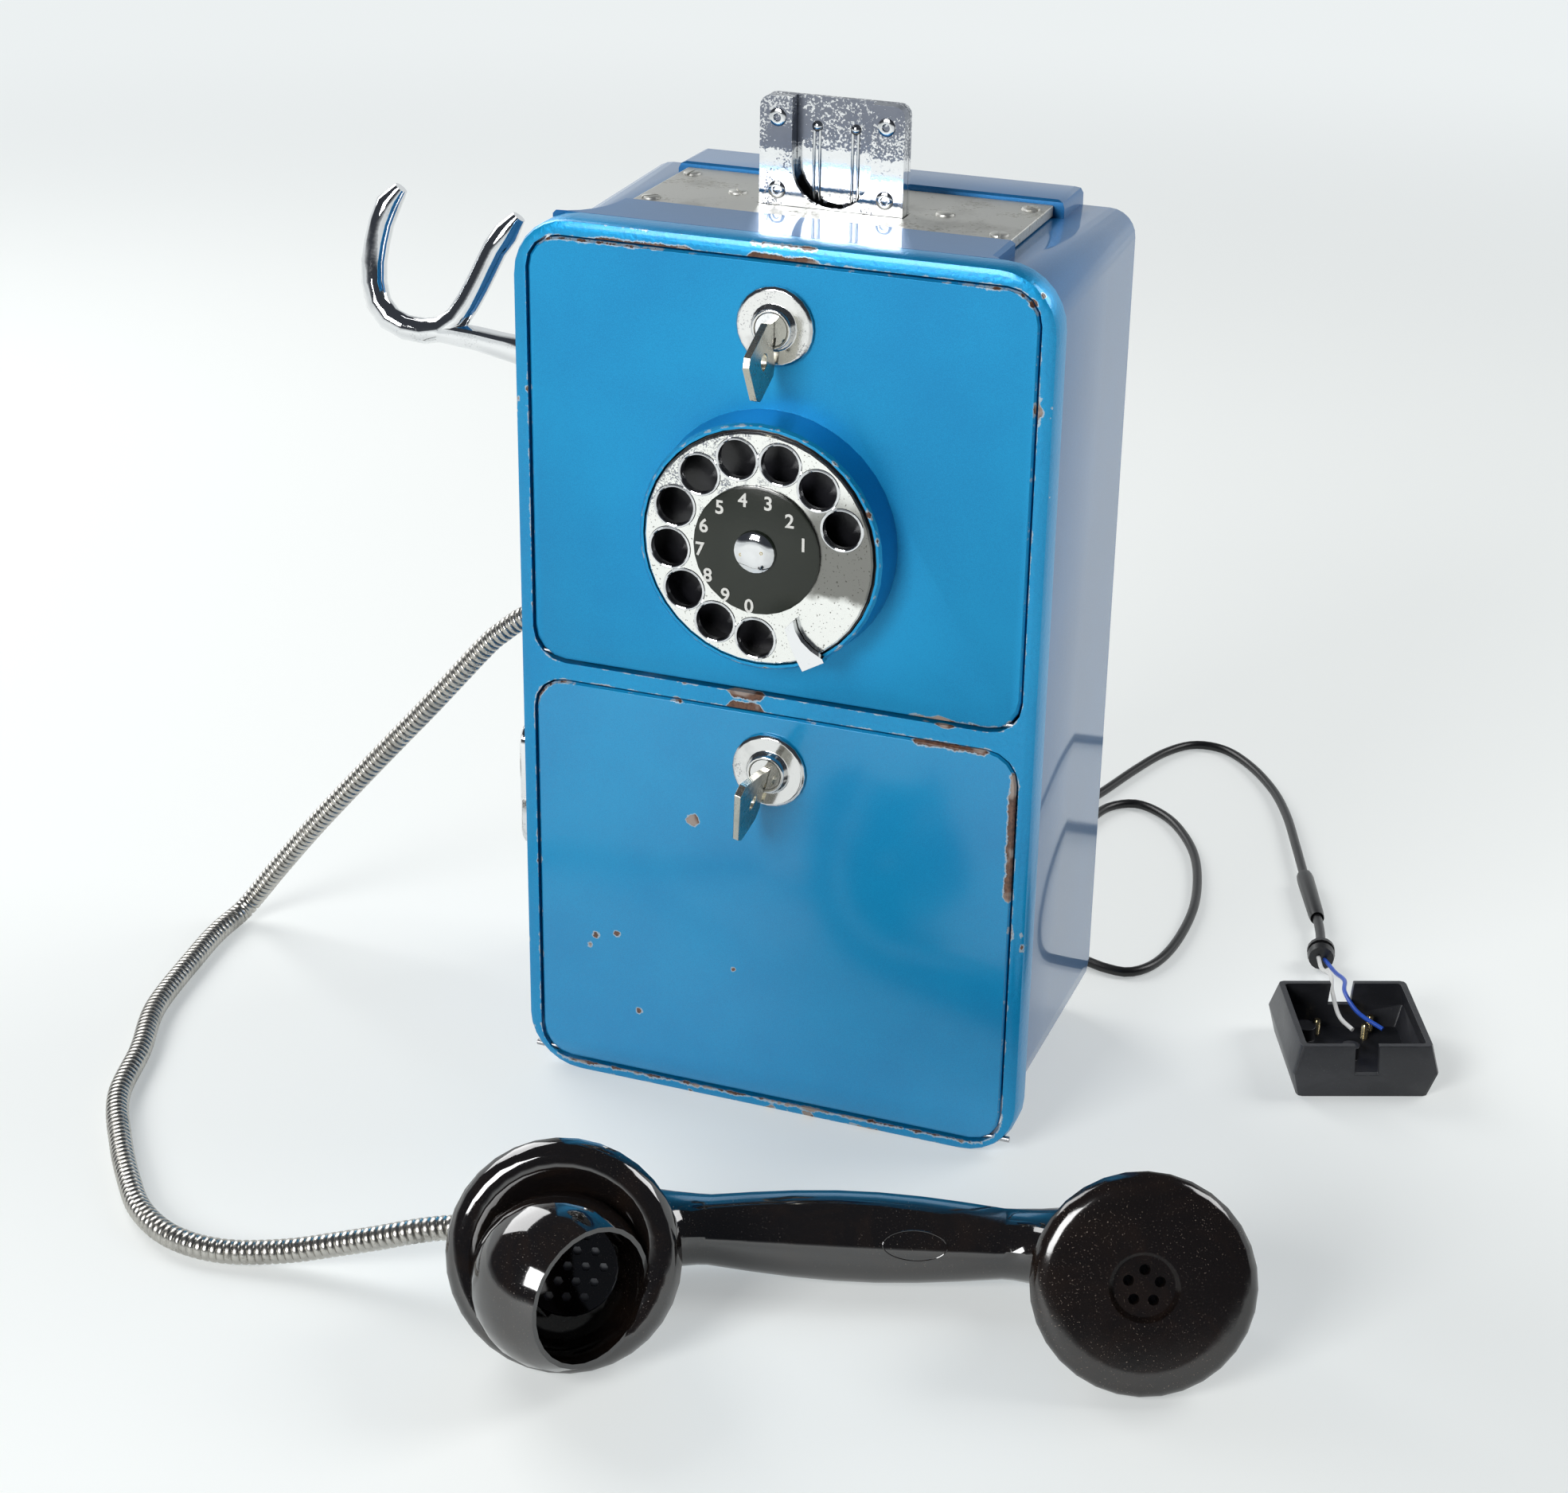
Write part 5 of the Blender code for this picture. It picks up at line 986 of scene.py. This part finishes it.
def surface(name, origin, direction):
    """The place where a ray first meets a node."""
    return nodes[name].ray_cast(origin, direction)[1]


def cap_pins(brass):
    """Two small pin holes in the cap over the dial's middle."""
    bm = bmesh.new()
    for x, z in CAP_PINS:
        place = surface("hub_cap", DIAL + Vector((x * MM, -RAY_START, z * MM)), -OUT)
        turned(bm, in_metres(PIN_RIM), place, OUT, 20, closed=True)
        turned(bm, in_metres(PIN_FLOOR), place, OUT, 20)
    new_piece("cap_pins", bm, brass, "finger_wheel")


def chute_ribs(chrome):
    """Two upright beads with round heads inside the chute."""
    low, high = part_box("chute_back_plate")
    bm = bmesh.new()
    for x in (-BEAD_X, BEAD_X):
        foot, head = (Vector((x, low.y - PROUD, high.z - drop)) for drop in BEAD_DROPS)
        for side in (-BEAD_RAIL_X, BEAD_RAIL_X):
            rail = [foot + Vector((side, 0, 0)), head + Vector((side, 0, 0))]
            skin(bm, sweep_rings(rail, [BEAD_RAIL_R] * 2, 12))
        turned(bm, in_metres(BEAD_HEAD), head, OUT, 20)
    new_piece("chute_ribs", bm, chrome, "box")


OVAL_AT = Vector((82.82 * MM, -93.55 * MM, 19.34 * MM))
OVAL_HALF = (9.9 * MM, 4.7 * MM)
OVAL_LINE_R = 0.22 * MM
OVAL_STEPS = 56
HANDLE_ALONG = Vector((0.955, 0.297, -0.003))
HANDLE_FACE = Vector((0.271, -0.887, 0.375))


def handle_oval(bakelite):
    """The raised oval line on the handle, laid on its skin."""
    up = HANDLE_FACE.cross(HANDLE_ALONG)
    toward_handle = -HANDLE_FACE.normalized()
    ring = []
    for step in range(OVAL_STEPS):
        angle = math.tau * step / OVAL_STEPS
        place = OVAL_AT + HANDLE_ALONG * math.cos(angle) * OVAL_HALF[0]
        place += up * math.sin(angle) * OVAL_HALF[1]
        ring.append(surface("handset_handle", place + HANDLE_FACE * RAY_START, toward_handle))
    rings = []
    for index, point in enumerate(ring):
        along = (ring[(index + 1) % OVAL_STEPS] - ring[index - 1]).normalized()
        side = along.cross(HANDLE_FACE).normalized()
        rings.append(circle(point, side, side.cross(along), OVAL_LINE_R, 8))
    bm = bmesh.new()
    skin(bm, rings, closed=True)
    new_piece("handle_oval", bm, bakelite, "handset")


# Studs of the wall box: places in X and Y, the highest foot, and the thread's turns and pitch
BOX_SCREWS = [(166.5, 113.5), (183.8, 123.5), (183.2, 116.5)]
STUD_FOOT_MAX = 6 * MM
STUD_TURNS = 9
STUD_PITCH = 0.62


def wall_box_screws(brass):
    """Threaded studs standing on the floor of the wall box."""
    profile = [(-0.5, 1.25)]
    for turn in range(STUD_TURNS):
        profile += [(0.3 + turn * STUD_PITCH, 1.05), (0.58 + turn * STUD_PITCH, 1.35)]
    profile.append((6.1, 1.0))
    bm = bmesh.new()
    for x, y in BOX_SCREWS:
        place = surface("wall_box", Vector((x * MM, y * MM, RAY_START)), -UP)
        place.z = min(place.z, STUD_FOOT_MAX)
        turned(bm, in_metres(profile), place, UP, 18)
    new_piece("wall_box_screws", bm, brass, "box")


# Looks of the nodes

DOOR_CORNER_R = 10.5 * MM
FRAME_CORNER_R = 19.5 * MM
DOOR_GAP = 0.8 * MM
# Stretches of edge with more wear: from and to in X, from and to in Z, and how far it reaches
FRAME_WEAR = [
    ((-13, -4, 149, 156), 2.6),
    ((-88, 88, -1, 3), 0.9),
    ((-8, 12, 299, 306), 1.6),
    ((-58, -30, 299, 306), 0.9),
]
UPPER_DOOR_WEAR = [
    ((-84, -40, 296, 302), 0.7),
    ((48, 84, 152, 158), 1.0),
    ((58, 84, 290, 302), 0.6),
]
LOWER_DOOR_WEAR = [
    ((79, 85, 98, 140), 2.3),
    ((50, 72, 145, 151), 1.5),
    ((-84, -70, 140, 151), 0.8),
]
# Chips away from the edges of the lower door: X, Z and radius
LOWER_DOOR_SPOTS = [
    (-27.0, 105.5, 2.0),
    (-62.5, 55.0, 1.2),
    (-55.0, 57.0, 1.0),
    (-65.0, 51.0, 0.9),
    (-12.0, 52.0, 0.7),
    (-47.0, 29.0, 0.8),
]


def paint_case():
    """Blue enamel, chipped along the doors, their openings, the frame and the dial's ring."""
    upper = middle_and_half(*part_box("upper_door"))
    lower = middle_and_half(*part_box("lower_door"))
    front = middle_and_half(*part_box("front_frame"))
    upper_edge = (*upper, DOOR_CORNER_R, 1.1 * MM, -0.2 * MM, DIAL.y)
    lower_edge = (*lower, DOOR_CORNER_R, 0.9 * MM, -0.3 * MM, DIAL.y)
    frame_edge = (*front, FRAME_CORNER_R, 2.6 * MM, -0.6 * MM, DIAL.y)
    ring_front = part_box("upper_door")[0].y
    ring = (0, DIAL.z, 40.0 * MM, 40.0 * MM, 40.0 * MM, 1.6 * MM, -0.3 * MM, ring_front)
    openings = []
    for door, reach, line in ((upper, 1.7 * MM, -0.35 * MM), (lower, 0.8 * MM, -0.4 * MM)):
        half_x, half_z = door[2] + DOOR_GAP, door[3] + DOOR_GAP
        openings.append((*door[:2], half_x, half_z, DOOR_CORNER_R + DOOR_GAP, reach, line, DIAL.y))

    frame_paint = paint(
        "frame_paint", [*openings, frame_edge], 0.16, (620, 0.16 * MM), FRAME_WEAR, coat=0.55
    )
    upper_paint = paint(
        "upper_door_paint", [upper_edge, ring], 0.42, (1500, 0.04 * MM), UPPER_DOOR_WEAR, coat=0.4
    )
    lower_paint = paint(
        "lower_door_paint", [lower_edge], 0.13, (1400, 0.03 * MM), LOWER_DOOR_WEAR, LOWER_DOOR_SPOTS
    )
    # The sides of the case in a darker copy of the front's blue, as painted shade
    shaded_side_paint = paint(
        "shaded_side_paint",
        [],
        0.05,
        (300, 0.02 * MM),
        colours=(SHADED_SIDE_PAINT, tuple(value * 0.8 for value in SHADED_SIDE_PAINT)),
        metallic=0.35,
        coat=0.75,
        ior=1.24,
    )
    dress(frame_paint, "front_frame")
    dress(upper_paint, "upper_door")
    dress(lower_paint, "lower_door")
    dress(shaded_side_paint, "housing")


def build():
    make_camera()
    floor()
    world()
    lamps()
    paint_case()

    armour = metal(
        "armour_steel",
        (0.50, 0.485, 0.45),
        0.27,
        film=0.3,
        pits=0.4,
        pit_colour=(0.16, 0.15, 0.13),
        grain=900,
    )
    chrome = metal("bright_chrome", (0.78, 0.79, 0.80), 0.045, film=0.12, pits=0.15)
    chute_chrome = metal(
        "chute_chrome",
        (0.78, 0.79, 0.80),
        0.07,
        pits=0.8,
        pit_colour=(0.05, 0.065, 0.11),
        grain=1300,
        dull_from=0.321,
    )
    lock_chrome = metal(
        "lock_chrome",
        (0.72, 0.72, 0.71),
        0.11,
        film=0.2,
        pits=0.45,
        pit_colour=(0.09, 0.10, 0.13),
        grain=1600,
    )
    zinc = metal(
        "pitted_zinc",
        (0.56, 0.56, 0.53),
        0.50,
        film=0.2,
        pits=0.45,
        pit_colour=(0.26, 0.25, 0.21),
        grain=800,
        bump=0.05 * MM,
    )
    steel = metal("plain_steel", (0.42, 0.42, 0.43), 0.34, film=0.3)
    brass = metal("brass_metal", (0.60, 0.50, 0.28), 0.25, film=0.3, pits=0.3)
    copper = metal("copper_winding", (0.50, 0.20, 0.09), 0.35, film=0.2)
    key_metal = metal(
        "key_metal",
        (0.56, 0.54, 0.46),
        0.27,
        film=0.3,
        pits=0.35,
        pit_colour=(0.16, 0.14, 0.10),
        grain=1200,
    )
    rubber = plastic("black_rubber", (0.010, 0.010, 0.011), (0.016, 0.016, 0.017), 0.34)
    mould = plastic(
        "black_moulding",
        (0.022, 0.023, 0.027),
        (0.032, 0.033, 0.038),
        0.36,
        grain=600,
        bump=0.05 * MM,
        dust=0.25,
        dust_colour=(0.2, 0.2, 0.2),
    )
    cup = plastic(
        "dial_cup_black", (0.008, 0.008, 0.010), (0.014, 0.014, 0.018), 0.30, grain=600, bump=0.04 * MM
    )
    bakelite = plastic(
        "polished_bakelite",
        (0.0062, 0.0048, 0.0045),
        (0.012, 0.0075, 0.0055),
        0.07,
        grain=500,
        bump=0.006 * MM,
        dust=0.35,
        ior=1.95,
    )
    dusty = plastic(
        "speckled_bakelite",
        (0.0075, 0.0052, 0.0045),
        (0.013, 0.008, 0.006),
        0.12,
        grain=700,
        bump=0.01 * MM,
        dust=0.8,
        ior=1.75,
    )
    card = plastic("dial_card", (0.011, 0.015, 0.009), (0.014, 0.018, 0.011), 0.24)
    ink = plastic("white_ink", (0.80, 0.80, 0.76), (0.72, 0.72, 0.68), 0.5)
    white = plastic("white_insulation", (0.72, 0.72, 0.70), (0.66, 0.66, 0.64), 0.4)
    blue = plastic("blue_insulation", (0.02, 0.09, 0.50), (0.02, 0.07, 0.40), 0.35)

    dress(zinc, "top_plate", "coin_runway", "capacitor", "cash_box")
    dress(chrome, "hook_fork", "hub_cap", "finger_stop")
    dress(chrome, "coin_return_bezel", "hose_gland", "upper_lock_plug")
    dress(chute_chrome, "chute_front_frame", "chute_back_plate")
    dress(lock_chrome, "upper_lock_body", "lower_lock_body", "lower_lock_plug")
    dress(wheel_metal(), "finger_wheel")
    dress(key_metal, "upper_key", "lower_key")
    dress(brass, "dial_movement")
    dress(steel, "back_plate", "mechanism_chassis", "coin_relay", "dial_shaft")
    dress(steel, "hook_bracket", "hook_pin", "upper_lock_cam", "lower_lock_cam")
    dress(steel, "hose_ferrule", "receiver_capsule", "transmitter_capsule")
    dress(steel, "lower_hinge_pin_left", "lower_hinge_pin_right")
    dress(steel, "upper_hinge_pin_left", "upper_hinge_pin_right")
    dress(copper, "induction_coil")
    dress(mould, "wall_box")
    dress(cup, "dial_cup")
    dress(card, "number_card")
    dress(bakelite, "handset_handle", "mouthpiece", "mouth_grille", "switch_stack", "terminal_block")
    dress(dusty, "ear_cap")
    dress(rubber, "cord_inlet", "cord_sleeve", "wall_grommet")
    smooth_nodes()

    armoured_hose(armour)
    line_cords(rubber, white, blue)
    dial_trim(chrome, ink)
    small_fasteners(zinc, chrome)
    cap_pins(brass)
    chute_ribs(chrome)
    handle_oval(bakelite)
    wall_box_screws(brass)


build()
